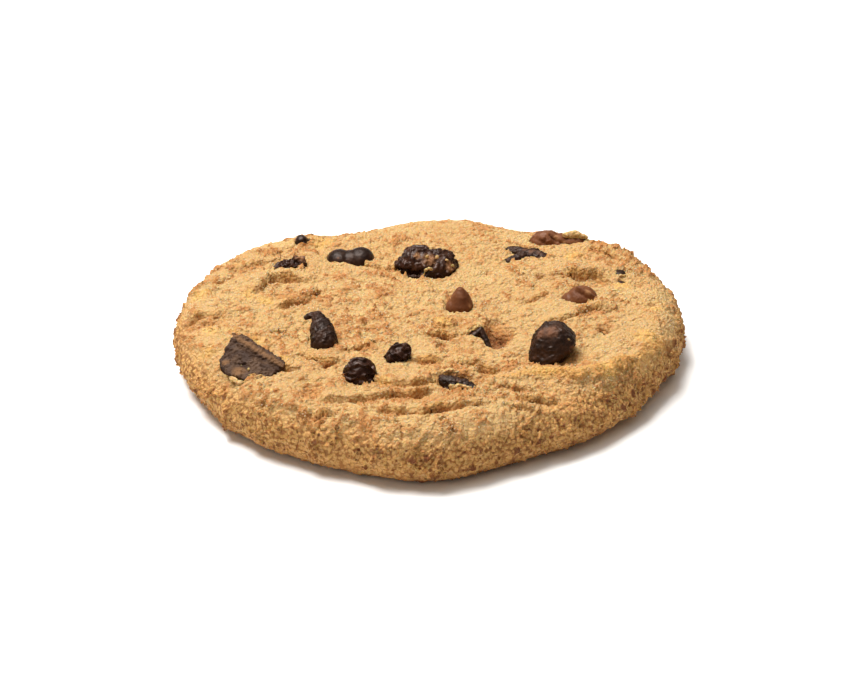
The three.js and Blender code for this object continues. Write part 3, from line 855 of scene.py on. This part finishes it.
def settle(piece, node):
    """Moves the piece to its place and stretches it the last bit, so that it fills the plain node's box."""
    low, high = box_mm(node)
    points = points_of(piece.data)
    least, most = points.min(0), points.max(0)
    points = low + (points - least) * (high - low) / (most - least)
    piece.data.vertices.foreach_set("co", points.ravel())
    piece.data.update()


# %% [markdown]
# A raisin is a grape that lost its water, so its skin is too large for it and lies in ridges. Chocolate keeps
# a smoother skin with soft dents. One tree serves both: it raises a network of ridges where a noise passes
# through its middle value, and adds soft dents and a fine grain.

# %% Build the skin tree
skin, given = new_tree("skin", RidgeSize=2.0, Ridge=0.4, DentSize=2.0, Dent=0.2, Grain=0.06, Seed=1.0)
place = put(skin, "GeometryNodeInputPosition").outputs[0]
away = put(skin, "ShaderNodeVectorMath", {0: (31.7, 12.9, -8.3), "Scale": given["Seed"]},
    operation="SCALE").outputs[0]
place = put(skin, "ShaderNodeVectorMath", {0: place, 1: away}, operation="ADD").outputs[0]


def sized(tree, place, size, detail=2.0):
    return put(tree, "ShaderNodeTexNoise",
        {"Vector": place, "Scale": calc(tree, "DIVIDE", 1.0, size), "Detail": detail}).outputs[0]


line = calc(skin, "ABSOLUTE", calc(skin, "SUBTRACT", sized(skin, place, given["RidgeSize"], 1.0), 0.5))
ridge = fade(skin, line, 0.0, 0.09, 1.0, 0.0)
raised = calc(skin, "MULTIPLY", ridge, given["Ridge"])
dent = calc(skin, "MULTIPLY", centred(skin, sized(skin, place, given["DentSize"]), 2.0), given["Dent"])
grain = calc(skin, "MULTIPLY", centred(skin, sized(skin, place, 0.5), 2.0), given["Grain"])
height = calc(skin, "ADD", calc(skin, "ADD", raised, dent), grain)
normal = put(skin, "GeometryNodeInputNormal").outputs[0]
push = put(skin, "ShaderNodeVectorMath", {0: normal, "Scale": height}, operation="SCALE").outputs[0]
moved = put(skin, "GeometryNodeSetPosition", {"Geometry": given["Geometry"], "Offset": push})
close_tree(skin, moved.outputs[0])
print("one skin tree for chocolate and raisins,", len(skin.nodes), "nodes")

# %% [markdown]
# ## Raisin skin and chocolate
#
# Raisin skin is nearly black with a little red, and shines on its ridges where it is stretched. Dark
# chocolate is a touch warmer and satin, with a dull greyish bloom in patches. Milk chocolate is the same
# satin in a lighter brown. A number stored on each piece marks where it is rubbed or has dry crumb on it,
# and where a ridge or top catches the light, as a painted highlight; all of these are painted paler.

# %% Piece materials
def piece_material(name, deep, light, dust_and_highlight_tone, roughness, bump_size, bump_height):
    material, tree, shader, place = new_material(name)
    tone = blend(tree, fade(tree, cloud(tree, place, 2.2, 31, 3, 0.6), 0.35, 0.7), deep, light)
    # Painted highlight as well as dust: the marked places are painted paler, both where crumb or rubbing
    # dulls a piece and where light catches it.
    dust_and_highlight_share = calc(tree, "ADD", own(tree, "dust"), centred(tree, cloud(tree, place, 0.8, 32, 3, 0.7), 1.3))
    dust_and_highlight_share = calc(tree, "MULTIPLY", fade(tree, dust_and_highlight_share, 0.2, 1.1),
        calc(tree, "MINIMUM", calc(tree, "MULTIPLY", own(tree, "dust"), 3), 1))
    tone = blend(tree, dust_and_highlight_share, tone, dust_and_highlight_tone)
    tree.links.new(tone, shader.inputs["Base Color"])
    rough = calc(tree, "ADD", roughness, centred(tree, cloud(tree, place, 1.2, 33, 3), 0.3))
    tree.links.new(calc(tree, "ADD", rough, calc(tree, "MULTIPLY", dust_and_highlight_share, 0.35)), shader.inputs["Roughness"])
    shader.inputs["Specular IOR Level"].default_value = 0.22
    shader.inputs["Specular Tint"].default_value = (1.0, 0.82, 0.72, 1)
    bump(tree, shader, cloud(tree, place, bump_size, 34, 3, 0.6), bump_height)
    return material


dark_paint = piece_material("dark_chocolate", rgb(0.011, 0.0045, 0.003), rgb(0.042, 0.018, 0.010),
    rgb(0.17, 0.075, 0.04), 0.38, 0.5, 0.1)
chunk_paint = piece_material("broken_chocolate", rgb(0.030, 0.013, 0.007), rgb(0.080, 0.042, 0.022),
    rgb(0.19, 0.098, 0.046), 0.58, 0.5, 0.16)
milk_paint = piece_material("milk_chocolate", rgb(0.110, 0.036, 0.013), rgb(0.185, 0.068, 0.027),
    rgb(0.33, 0.16, 0.07), 0.5, 0.5, 0.06)
raisin_paint = piece_material("raisin_skin", rgb(0.016, 0.005, 0.003), rgb(0.050, 0.018, 0.009),
    rgb(0.30, 0.14, 0.06), 0.30, 0.35, 0.06)

# %% [markdown]
# ## The raisins
#
# The large one at the back is folded double: its upper half hangs over a deep cleft on the left, with a
# tongue of skin inside. The two at the front are balls of tight wrinkles. The one at the back left has sunk
# until only its wrinkled top shows, and a smooth fold lies behind it.

# %% Model the raisins
finished = []  # each piece with the plain node it replaces


def finish_clay(piece, node, paint, **sizes):
    apply_tree(piece, skin, **sizes)
    settle(piece, node)
    piece.data.materials.clear()
    piece.data.materials.append(paint)
    finished.append((piece, node))


node = "raisin_back_large"
raisin = clay(node + "_skin", node,
    lump((0.15, 0, 0.0), (0.84, 0.88, 0.78)) + lump((-0.18, 0.15, 0.4), (0.55, 0.68, 0.56), (0, 10, 0))
    + lump((0.48, 0.1, 0.18), (0.5, 0.75, 0.58), (0, 16, 0))
    + lump((-0.52, 0, 0.2), (0.46, 0.6, 0.4), (0, -18, 0))
    + lump((-0.84, -0.1, 0.12), (0.17, 0.3, 0.22)) + lump((-0.4, -0.38, -0.12), (0.36, 0.46, 0.26))
    + lump((-0.1, -0.1, -0.55), (0.75, 0.78, 0.42)),
    voxel=0.15, smooth=14)
groove(raisin, node, [(-1, -0.3, -0.08), (-0.7, -0.62, 0.0), (-0.38, -0.82, 0.1), (-0.12, -0.9, 0.2)], 0.6,
    2.8)
groove(raisin, node, [(-0.75, -0.5, -0.38), (-0.35, -0.85, -0.36), (0.05, -0.9, -0.3)], 0.55, 1.0)
groove(raisin, node, [(0.1, -0.8, 0.35), (0.3, -0.6, 0.62), (0.42, -0.1, 0.8)], 0.5, 0.5)
mark(raisin, node, "dust", [((0.75, -0.45, 0.3), 1.2), ((0.1, -0.45, 0.75), 1.6), ((-0.3, -0.3, 0.85), 0.8)])
finish_clay(raisin, node, raisin_paint, RidgeSize=2.1, Ridge=0.38, DentSize=1.5, Dent=0.34, Grain=0.16,
    Seed=2.0)

node = "raisin_back_left"
raisin = clay(node + "_skin", node,
    lump((-0.1, -0.1, -0.05), (0.85, 0.8, 0.85)) + lump((0.55, 0.35, 0.55), (0.42, 0.5, 0.42))
    + lump((0.75, -0.5, -0.1), (0.25, 0.4, 0.5))
    + lump((-0.75, -0.1, 0.0), (0.25, 0.4, 0.5)), voxel=0.12)
mark(raisin, node, "dust", [((0.6, 0.4, 0.9), 1.1)])
finish_clay(raisin, node, raisin_paint, RidgeSize=1.2, Ridge=0.5, DentSize=1.1, Dent=0.35, Grain=0.1,
    Seed=5.0)

node = "raisin_front_left"
raisin = clay(node + "_skin", node, lump((0, 0, 0), (1, 1, 1)) + lump((0.5, -0.55, -0.2), (0.45, 0.4, 0.5)),
    voxel=0.1)
finish_clay(raisin, node, raisin_paint, RidgeSize=2.0, Ridge=0.66, DentSize=1.6, Dent=0.25, Grain=0.04,
    Seed=8.0)

node = "raisin_front_middle"
raisin = clay(node + "_skin", node,
    lump((0.2, 0.1, 0.1), (0.8, 0.85, 0.8), (0, -20, 0)) + lump((-0.45, -0.3, -0.25), (0.5, 0.6, 0.6)),
    voxel=0.1)
finish_clay(raisin, node, raisin_paint, RidgeSize=1.8, Ridge=0.6, DentSize=1.5, Dent=0.22, Grain=0.04,
    Seed=13.0)

# %% [markdown]
# ## The dark chocolate
#
# Most of these started as pointed drops. Two melted together into smooth humps. One fell on its side, with
# its foot to us and its soft tip bent over to the left. The largest is a fat button whose top is rubbed and
# painted paler, partly as a painted highlight. Others melted flat between crumbs and left stars with ragged
# arms, and those are modelled as limbs. The chunk and the shard are broken pieces, so they are blocks with
# corners.

# %% Model the dark chocolate
node = "dark_chip_twin"
chip = clay(node + "_choc", node,
    lump((-0.46, 0, -0.05), (0.54, 0.95, 0.86)) + lump((0.42, 0, 0), (0.58, 0.98, 1))
    + lump((0, 0, -0.1), (0.5, 0.9, 0.86)), voxel=0.12, smooth=10)
mark(chip, node, "dust", [((-0.5, -0.75, 0.62), 0.35), ((-0.35, -0.8, 0.6), 0.3)])
finish_clay(chip, node, dark_paint, Ridge=0.0, DentSize=2.5, Dent=0.12, Grain=0.02, Seed=1.0)

node = "dark_chip_back_small"
chip = clay(node + "_choc", node, lump((0, 0, -0.2), (1, 1, 0.8)) + lump((-0.15, 0, 0.3), (0.72, 0.8, 0.7)),
    voxel=0.1, smooth=8)
finish_clay(chip, node, dark_paint, Ridge=0.0, DentSize=1.2, Dent=0.1, Grain=0.03, Seed=3.0)

node = "dark_chip_back_rim"
chip = clay(node + "_choc", node, lump((0, 0, -0.2), (1, 1, 0.8)) + lump((-0.15, 0, 0.3), (0.72, 0.8, 0.7)),
    voxel=0.1, smooth=8)
finish_clay(chip, node, dark_paint, Ridge=0.0, DentSize=1.2, Dent=0.15, Grain=0.03, Seed=4.0)

node = "dark_chip_left_lying"
chip = clay(node + "_choc", node,
    lump((0.16, -0.56, -0.12), (0.82, 0.22, 0.86), (-14, 0, 12))
    + limb([(0.14, -0.42, -0.12), (0.04, 0.05, 0.12), (-0.1, 0.5, 0.36)], (2.4, 2.2, 1.6))
    + limb([(-0.16, 0.5, 0.42), (-0.3, 0.8, 0.66), (-0.62, 0.86, 0.7), (-0.9, 0.8, 0.56)],
    (1.5, 0.9, 0.55, 0.42)), voxel=0.12, smooth=3)
mark(chip, node, "dust", [((0.3, -0.1, 0.55), 0.55), ((-0.62, -0.72, -0.5), 0.4)])
finish_clay(chip, node, dark_paint, Ridge=0.12, RidgeSize=1.6, DentSize=1.3, Dent=0.34, Grain=0.12, Seed=6.0)

node = "dark_chip_right_large"
chip = block(node + "_choc", node, [(-0.4, -0.3, 0.95), (-0.3, 0.6, 1), (0.35, -0.35, 1), (0.45, 0.6, 0.95),
    (0.9, -0.5, 0.45), (1, 0.5, 0.3), (0.92, -0.45, 0.15),
    (-0.75, -0.5, 0.25), (-0.8, 0.5, 0.2), (-1, -0.6, -0.4), (-0.9, -0.2, -0.6), (-0.45, -0.88, -0.6),
    (-0.05, -1, -0.4), (0.4, -0.84, -0.1), (-0.3, -0.5, -1), (0.1, 0.6, -1), (0.1, -0.5, -0.95),
    (-0.4, 1, -0.2), (0.5, 1, 0)],
    voxel=0.15, smooth=260)
groove(chip, node, [(-0.75, -0.75, -0.1), (-0.35, -0.95, 0.05), (0.05, -0.95, 0.12)], 0.7, 0.4)
groove(chip, node, [(0.3, -0.7, 0.75), (0.62, -0.62, 0.5), (0.72, -0.7, 0.1)], 0.35, 0.35)
# Its top is painted paler: partly rubbed chocolate, partly a painted highlight where light falls on it.
mark(chip, node, "dust", [((-0.1, -0.35, 0.95), 1.5), ((-0.5, -0.2, 0.75), 1.1), ((0.65, -0.6, 0.6), 0.7),
    ((0.75, -0.6, 0.25), 0.55), ((-0.75, -0.7, -0.1), 0.7)])
finish_clay(chip, node, dark_paint, Ridge=0.1, RidgeSize=1.2, DentSize=1.3, Dent=0.22, Grain=0.16, Seed=7.0)

node = "dark_chip_right_buried"
chip = clay(node + "_choc", node, lump((0.0, 0.4, 0.1), (1, 0.6, 0.9))
    + lump((0.1, -0.55, -0.1), (0.8, 0.42, 0.8)) + lump((0, 0, -0.3), (0.8, 0.7, 0.7)), voxel=0.1, smooth=6)
finish_clay(chip, node, dark_paint, Ridge=0.0, DentSize=1.3, Dent=0.2, Grain=0.06, Seed=9.0)

node = "dark_chip_right_sunken"
chip = clay(node + "_choc", node, lump((0, 0, -0.2), (1, 1, 0.8)) + lump((0.1, 0, 0.3), (0.7, 0.8, 0.7)),
    voxel=0.1, smooth=8)
finish_clay(chip, node, dark_paint, Ridge=0.0, DentSize=1.0, Dent=0.2, Grain=0.06, Seed=10.0)

node = "dark_chunk_left"
chip = block(node + "_choc", node, [(-0.62, 0.95, 0.95), (-0.35, 1, 0.9), (1, -0.25, 0.32),
    (0.92, -0.45, 0.1), (-1, 0.1, 0.1), (-0.95, 0.2, -1),
    (-0.72, -0.6, -0.1), (-0.1, -1, -0.2), (0.5, -0.9, -0.1), (0.3, -0.9, -1), (0.9, 0.1, -1),
    (0, 0.9, -1)], voxel=0.15, smooth=4)
groove(chip, node, [(-0.5, 0.62, 0.72), (0.2, -0.05, 0.42), (0.85, -0.5, 0.1)], 0.45, 0.5)
groove(chip, node, [(-0.8, 0.25, 0.3), (-0.55, -0.2, 0.25), (-0.1, -0.4, 0.1)], 0.8, 0.4)
# The band along the chunk's top ridge is a painted highlight; the spots lower down are dry crumb on its face.
mark(chip, node, "dust", [((-0.55 + 0.05 * k, 0.85 - 0.044 * k, 0.95 - 0.022 * k), 0.8) for k in range(31)]
    + [((-0.4, -0.6, 0), 1.6), ((0.1, -0.9, -0.1), 1.1), ((-0.8, -0.1, 0.1), 0.8)])
finish_clay(chip, node, chunk_paint, Ridge=0.2, RidgeSize=1.0, DentSize=1.2, Dent=0.42, Grain=0.26, Seed=12.0)

node = "dark_shard_middle"
chip = clay(node + "_choc", node,
    limb([(-0.95, -0.05, 0.1), (-0.4, 0.1, 0.45), (0.1, 0.2, 0.85)], (0.3, 0.55, 0.45))
    + limb([(0.1, 0.2, 0.85), (0.45, -0.1, 0.1), (0.85, -0.6, -0.6)], (0.5, 0.6, 0.35))
    + limb([(-0.3, 0, 0.2), (0.1, 0, -0.5), (0.4, -0.2, -0.9)], (0.7, 0.7, 0.6)), voxel=0.1, smooth=2)
finish_clay(chip, node, dark_paint, Ridge=0.0, DentSize=1.0, Dent=0.12, Grain=0.04, Seed=14.0)

node = "dark_melt_back"
chip = clay(node + "_choc", node,
    limb([(-0.1, 0.2, 0.2), (-0.45, 0.65, 0.3), (-0.75, 0.8, 0.3)], (1.5, 1.2, 1.15))
    + limb([(-0.15, 0.1, 0.2), (-0.5, -0.45, 0.2), (-0.85, -0.8, 0.1)], (1.5, 1.15, 0.85))
    + limb([(0, 0.1, 0.2), (0.4, -0.2, 0.2), (0.88, -0.55, 0.05)], (1.6, 1.5, 0.95))
    + limb([(0, 0.2, 0.2), (0.3, 0.75, 0.1)], (1.5, 0.9))
    + lump((0, 0, -0.2), (0.6, 0.6, 0.7)), voxel=0.1, smooth=2)
mark(chip, node, "dust", [((0.1, 0, 1), 1.0), ((-0.15, 0.2, 1), 0.8), ((0.4, -0.25, 0.9), 0.8)])
finish_clay(chip, node, dark_paint, Ridge=0.1, RidgeSize=1.0, DentSize=1.1, Dent=0.22, Grain=0.1, Seed=15.0)

node = "dark_melt_front"
chip = clay(node + "_choc", node,
    limb([(-0.9, 0.8, 0.2), (-0.5, 0.35, 0.3), (-0.1, 0, 0.35), (0.4, -0.1, 0.3), (0.9, -0.7, 0.1)],
    (0.9, 1.2, 1.35, 1.15, 0.9))
    + limb([(-0.1, 0, 0.3), (-0.2, -0.55, 0.3)], (1.1, 0.7))
    + limb([(0, 0, 0.3), (0.1, 0.7, 0.1)], (1.1, 0.7)) + lump((0, 0, -0.3), (0.6, 0.6, 0.65)), voxel=0.1,
    smooth=2)
mark(chip, node, "dust", [((-0.4, 0.2, 0.8), 0.5), ((0.1, -0.2, 0.9), 0.5)])
finish_clay(chip, node, dark_paint, Ridge=0.12, RidgeSize=1.0, DentSize=0.9, Dent=0.3, Grain=0.12, Seed=16.0)

# %% [markdown]
# ## The milk chocolate
#
# One drop stands with its tip up and a crack down its face. One lies on its side like a bean, with the swirl
# of its tip curled over the top and a crumb of it broken off at the left. At the back rim sits a chunk with a
# round lobe on the left and a thin plate on the right.

# %% Model the milk chocolate
node = "milk_chip_middle"
chip = clay(node + "_choc", node,
    limb([(0.12, 0, -0.42), (0.12, 0, 0.0), (0.1, 0, 0.4), (0.06, 0.05, 0.8)], (2.3, 2.15, 1.6, 0.75))
    + lump((-0.5, -0.1, 0.02), (0.4, 0.5, 0.36), (0, 24, 0)),
    voxel=0.12, smooth=8)
groove(chip, node, [(0.05, -0.85, 0.45), (0.0, -0.95, 0.1), (0.1, -1.0, -0.3)], 0.2, 0.28)
mark(chip, node, "dust", [((0.75, -0.5, 0.2), 0.5)])
finish_clay(chip, node, milk_paint, Ridge=0.0, DentSize=1.7, Dent=0.14, Grain=0.05, Seed=17.0)

node = "milk_chip_right"
chip = clay(node + "_choc", node,
    lump((0.2, 0.05, 0.08), (0.78, 0.9, 0.88)) + lump((-0.35, 0, -0.05), (0.42, 0.75, 0.62))
    + lump((-0.68, -0.5, -0.25), (0.34, 0.45, 0.34), (0, -20, 0)), voxel=0.12, smooth=6)
groove(chip, node, [(0.0, -0.1, 1.0), (0.35, -0.4, 0.95), (0.75, -0.55, 0.62), (0.95, -0.4, 0.3)], 0.42,
    -0.45)
groove(chip, node, [(-0.1, -0.4, 0.9), (0.3, -0.72, 0.7), (0.72, -0.8, 0.36)], 0.35, 0.4)
groove(chip, node, [(-0.75, -0.3, 0.1), (-0.5, -0.75, -0.15), (-0.3, -0.9, -0.4)], 0.28, 0.6)
mark(chip, node, "dust", [((0.5, -0.4, 0.9), 0.8)])
finish_clay(chip, node, milk_paint, Ridge=0.0, DentSize=1.6, Dent=0.15, Grain=0.06, Seed=18.0)

node = "milk_chunk_back"
chip = clay(node + "_choc", node,
    lump((-0.4, 0, 0.12), (0.55, 0.9, 0.85), (0, -6, 0)) + lump((-0.75, 0, -0.3), (0.24, 0.7, 0.4))
    + lump((0.1, 0, 0.2), (0.32, 0.8, 0.55), (0, 22, 0))
    + lump((0.5, 0, 0.2), (0.46, 0.8, 0.42)) + lump((0.84, 0, 0.1), (0.16, 0.6, 0.32)), voxel=0.13, smooth=4)
groove(chip, node, [(-0.25, -0.4, 0.9), (-0.05, -0.75, 0.55), (0.15, -0.8, 0.4), (0.3, -0.85, 0.15)], 0.35,
    0.6)
groove(chip, node, [(-0.6, -0.75, 0.6), (-0.35, -0.9, 0.3), (-0.1, -0.85, 0.42)], 0.3, 0.3)
mark(chip, node, "dust", [((-0.05, -0.5, 0.8), 0.8), ((0.2, -0.7, 0.4), 0.6)])
finish_clay(chip, node, milk_paint, Ridge=0.1, RidgeSize=1.6, DentSize=1.4, Dent=0.22, Grain=0.08, Seed=19.0)
print(len(finished), "pieces modelled")

# %% [markdown]
# ## Dough that sticks to the pieces
#
# Where a piece broke through, dough clings to it: a lip in front of a raisin, a flap over the shard, a crust
# on the back chunk, crumbs on a sticky skin. These dabs are limbs of clay too, placed in shares of the box of
# the piece they stick to, and melted together into one object.

# %% Model the dabs
dabs = []


def dab(node, path, thickness, steps=5):
    low, high = box_mm(node)
    middle, half = (low + high) / 2, (high - low) / 2
    for share, size, _ in limb(path if len(path) > 1 else path * 2, thickness, steps):
        dabs.append((middle + np.array(share) * half, size))


dab("milk_chunk_back", [(0.2, -0.2, 0.75), (0.55, -0.1, 0.72), (0.95, -0.1, 0.5)], (0.5, 0.9, 0.5))
dab("raisin_back_large", [(-1.05, -0.4, -0.3), (-0.75, -0.85, -0.3), (-0.35, -1.02, -0.3)], (0.35, 0.6, 0.4))
for place, size in [((-0.3, -0.35, 0.86), 0.3), ((0.02, -0.4, 0.8), 0.38), ((0.32, -0.45, 0.78), 0.34),
    ((0.8, -0.45, 0.3), 0.5), ((0.68, -0.6, 0.12), 0.35), ((0.62, -0.4, 0.6), 0.3)]:
    dab("raisin_back_large", [place], (size, size), 1)
dab("raisin_back_large", [(-0.08, -0.9, 0.0), (-0.06, -0.86, 0.28), (0.08, -0.8, 0.38), (0.2, -0.82, 0.26)],
    (0.24, 0.24), 6)
dab("raisin_back_left", [(-0.95, -1.0, 0.05), (-0.3, -1.15, 0.1), (0.15, -1.05, 0.3), (0.5, -1.15, 0.1)],
    (0.4, 0.6, 0.4))
dab("dark_chip_twin", [(-1.0, -0.9, 0), (-0.5, -1.15, -0.05), (-0.1, -1.05, -0.1)], (0.4, 0.6, 0.35))
dab("dark_chip_twin", [(0.7, -1.05, 0.12), (0.95, -0.7, 0.1)], (0.5, 0.4))
dab("dark_chunk_left", [(-0.6, -0.78, -0.2), (-0.3, -1.0, -0.24)], (0.3, 0.4))
dab("dark_chunk_left", [(0.45, -1.0, -0.15), (0.75, -0.78, -0.1), (0.95, -0.6, -0.05)], (0.4, 0.45, 0.3))
for place, size in [((-0.1, -0.55, 0.12), 0.26), ((-0.3, -0.35, 0.2), 0.22), ((0.12, -0.62, 0.05), 0.3),
    ((-0.05, -0.75, 0.0), 0.24), ((0.3, -0.7, 0.0), 0.22)]:
    dab("dark_chunk_left", [place], (size, size), 1)
dab("dark_chip_left_lying", [(-1.15, 0.35, -0.15), (-0.95, 0.0, -0.25), (-0.9, -0.35, -0.4)], (0.7, 0.9, 0.6))
dab("dark_chip_left_lying", [(0.35, -0.15, 0.62), (0.42, -0.25, 0.5)], (0.3, 0.25), 2)
dab("dark_chip_left_lying", [(-0.7, -1.0, -0.6), (0.0, -1.1, -0.75), (0.7, -1.0, -0.6)], (0.5, 0.45, 0.5))
dab("dark_shard_middle", [(-1.0, 0.2, 0.25), (-0.5, 0.6, 0.75), (0.0, 0.75, 1.0), (0.25, 0.6, 0.95)],
    (0.4, 0.55, 0.4))
dab("dark_shard_middle", [(-0.5, -0.8, -0.2), (0.0, -0.9, 0.05), (0.25, -0.9, -0.3)], (0.5, 0.65, 0.5))
dab("dark_chip_right_buried", [(-1.2, 0.0, 0.75), (0, -0.08, 0.9), (1.2, 0.05, 0.75)], (0.4, 0.55, 0.4))
dab("dark_melt_front", [(-0.9, 1.0, 0.7), (-0.4, 0.75, 0.95), (0.2, 0.8, 0.9)], (0.4, 0.6, 0.4))
dab("dark_melt_front", [(-0.9, -0.1, 0.6)], (0.5, 0.5), 1)
dab("dark_melt_front", [(-0.2, -0.9, 0.6), (0.3, -0.75, 0.6), (0.6, -0.9, 0.5)], (0.5, 0.45, 0.4))
dab("milk_chip_right", [(-0.4, -1.15, -0.35), (0.2, -1.15, -0.3), (0.8, -1.0, -0.2)], (0.5, 0.65, 0.4))
dab("dark_chip_right_large", [(0.62, -0.62, 0.66), (0.75, -0.55, 0.5)], (0.16, 0.16), 2)

sculpt = bmesh.new()
for place, size in dabs:
    bmesh.ops.create_icosphere(sculpt, subdivisions=2, radius=size, matrix=Matrix.Translation(Vector(place)))
stuck_dough = melt("stuck_dough", sculpt, 0.14, 2)
apply_tree(stuck_dough, relief, Lumps=0.9, Clods=3.0, Clots=0.2, Cracks=0.0, Grains=0.4, Pores=0.0)
store(stuck_dough.data, "steep", np.full(len(stuck_dough.data.vertices), 0.75))
stuck_dough.data.materials.append(dough_paint)
print(len(dabs), "dabs melted into", len(stuck_dough.data.polygons), "faces")

# %% [markdown]
# ## Press the pieces in
#
# Each piece lies in a pocket that fits it, because the dough was soft when it went in. Every point of the
# dough that lies inside a piece moves straight down until it is just under that piece.

# %% Make the pockets
POCKET_GAP = 0.06
points = points_of(dough.data)
covered = np.zeros(len(points))
for piece, node in finished:
    skin_tree = BVHTree.FromObject(piece, bpy.context.evaluated_depsgraph_get())
    low, high = box_mm(node)
    near = np.flatnonzero(((points[:, :2] > low[:2]) & (points[:, :2] < high[:2])).all(1)
        & (points[:, 2] > BULGE_HEIGHT))
    for index in near:
        x, y, z = points[index]
        under = skin_tree.ray_cast(Vector((x, y, low[2] - 1)), Vector((0, 0, 1)))[0]
        over = skin_tree.ray_cast(Vector((x, y, high[2] + 1)), Vector((0, 0, -1)))[0]
        if under is not None and under.z < z < over.z + POCKET_GAP:
            points[index, 2] = under.z - POCKET_GAP
            covered[index] = 1
dough.data.vertices.foreach_set("co", points.ravel())
dough.data.update()
store(dough.data, "covered", covered)
print(int(covered.sum()), "points of the dough lie in pockets")

# %% [markdown]
# ## Loose crumbs
#
# Baked dough sheds grains. They lie on the top and gather in rough patches, with none on the side and few
# at the back. A tree scatters them: it picks points on the dough that are never too close together, puts
# one of four ready-made grains at each, and turns and sizes it at random. A grain has only twenty faces,
# because there are thousands of them.

# %% Scatter the crumbs
def grain_shape(name, seed):
    """A twenty-sided lump, each corner pushed in or out a little."""
    lump_mesh = bmesh.new()
    bmesh.ops.create_icosphere(lump_mesh, subdivisions=1, radius=1)
    for corner in lump_mesh.verts:
        corner.co *= 0.75 + 0.5 * (noise.noise(corner.co * 1.3 + Vector((seed, 0, 0))) + 0.5)
    mesh = bpy.data.meshes.new(name)
    lump_mesh.to_mesh(mesh)
    lump_mesh.free()
    shape = bpy.data.objects.new(name, mesh)
    grain_box.objects.link(shape)


grain_box = bpy.data.collections.new("grain_shapes")
for seed in range(4):
    grain_shape(f"grain_{seed}", 3.7 * seed)

scatter, given = new_tree("scatter_grains", Density=2.2, Apart=0.38, Least=0.1, Most=0.18, Seed=7)
dots = put(scatter, "GeometryNodeDistributePointsOnFaces",
    {"Mesh": given["Geometry"], "Distance Min": given["Apart"],
    "Density Max": given["Density"], "Density Factor": named(scatter, "grow"), "Seed": given["Seed"]},
    distribute_method="POISSON")
ready = put(scatter, "GeometryNodeCollectionInfo",
    {"Collection": grain_box, "Separate Children": True, "Reset Children": True})
spin = put(scatter, "FunctionNodeRandomValue", {"Max": (6.28, 6.28, 6.28), "Seed": given["Seed"]},
    data_type="FLOAT_VECTOR").outputs[0]
roll = put(scatter, "FunctionNodeRandomValue", {"Seed": calc(scatter, "ADD", given["Seed"], 1)},
    data_type="FLOAT").outputs[1]
small_more = calc(scatter, "POWER", roll, 2.2)
size = fade(scatter, small_more, 0.0, 1.0, given["Least"], given["Most"])
grown = put(scatter, "GeometryNodeInstanceOnPoints",
    {"Points": dots.outputs["Points"], "Instance": ready.outputs[0],
    "Pick Instance": True, "Rotation": spin, "Scale": size})
plain = put(scatter, "GeometryNodeRealizeInstances", {"Geometry": grown.outputs[0]})
painted = put(scatter, "GeometryNodeSetMaterial", {"Geometry": plain.outputs[0], "Material": dough_paint})
close_tree(scatter, painted.outputs[0])

normals = np.empty(len(dough.data.vertices) * 3)
dough.data.vertices.foreach_get("normal", normals)
store(dough.data, "steep", 1 - np.clip(normals.reshape(-1, 3)[:, 2], 0, 1))
points = points_of(dough.data)
patchy = np.array([noise.noise(Vector(p) / 5) for p in points]) * 1.4 + 0.3
behind_crest = np.clip((26 - points[:, 1]) / 8, 0,
    1)  # few crumbs at the back, where they would fray the outline
store(dough.data, "grow", behind_crest * np.clip(patchy, 0.06, 1) * (covered == 0)
    * np.clip((points[:, 2] - 8) / 1.8, 0, 1))
crumbs = bpy.data.objects.new("crumbs", dough.data.copy())
for name, value in (("steep", 0.3), ("relief", 0.1)):  # a crumb is as pale as the dough round it is high
    crumbs.data.attributes[name].data.foreach_set("value", np.full(len(points), value, np.float32))
bpy.context.scene.collection.objects.link(crumbs)
apply_tree(crumbs, scatter, Seed=7)
print("the crumbs have", len(crumbs.data.polygons), "faces")

# %% [markdown]
# ## From millimetres to the frame
#
# Everything so far is in millimetres. The last step for each piece is to shrink its mesh to metres, shade it
# smoothly, hang it on the frame's root and hide the plain node it replaces.

# %% Finish a piece
def hand_over(piece, node):
    piece.data.transform(Matrix.Scale(MM, 4))
    piece.data.shade_smooth()
    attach(piece, "root")
    if node:
        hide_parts(node)
    print(piece.name, len(piece.data.polygons), "faces")


hand_over(dough, "baked_dough")
hand_over(crumbs, None)
hand_over(stuck_dough, None)
for piece, node in finished:
    hand_over(piece, node)
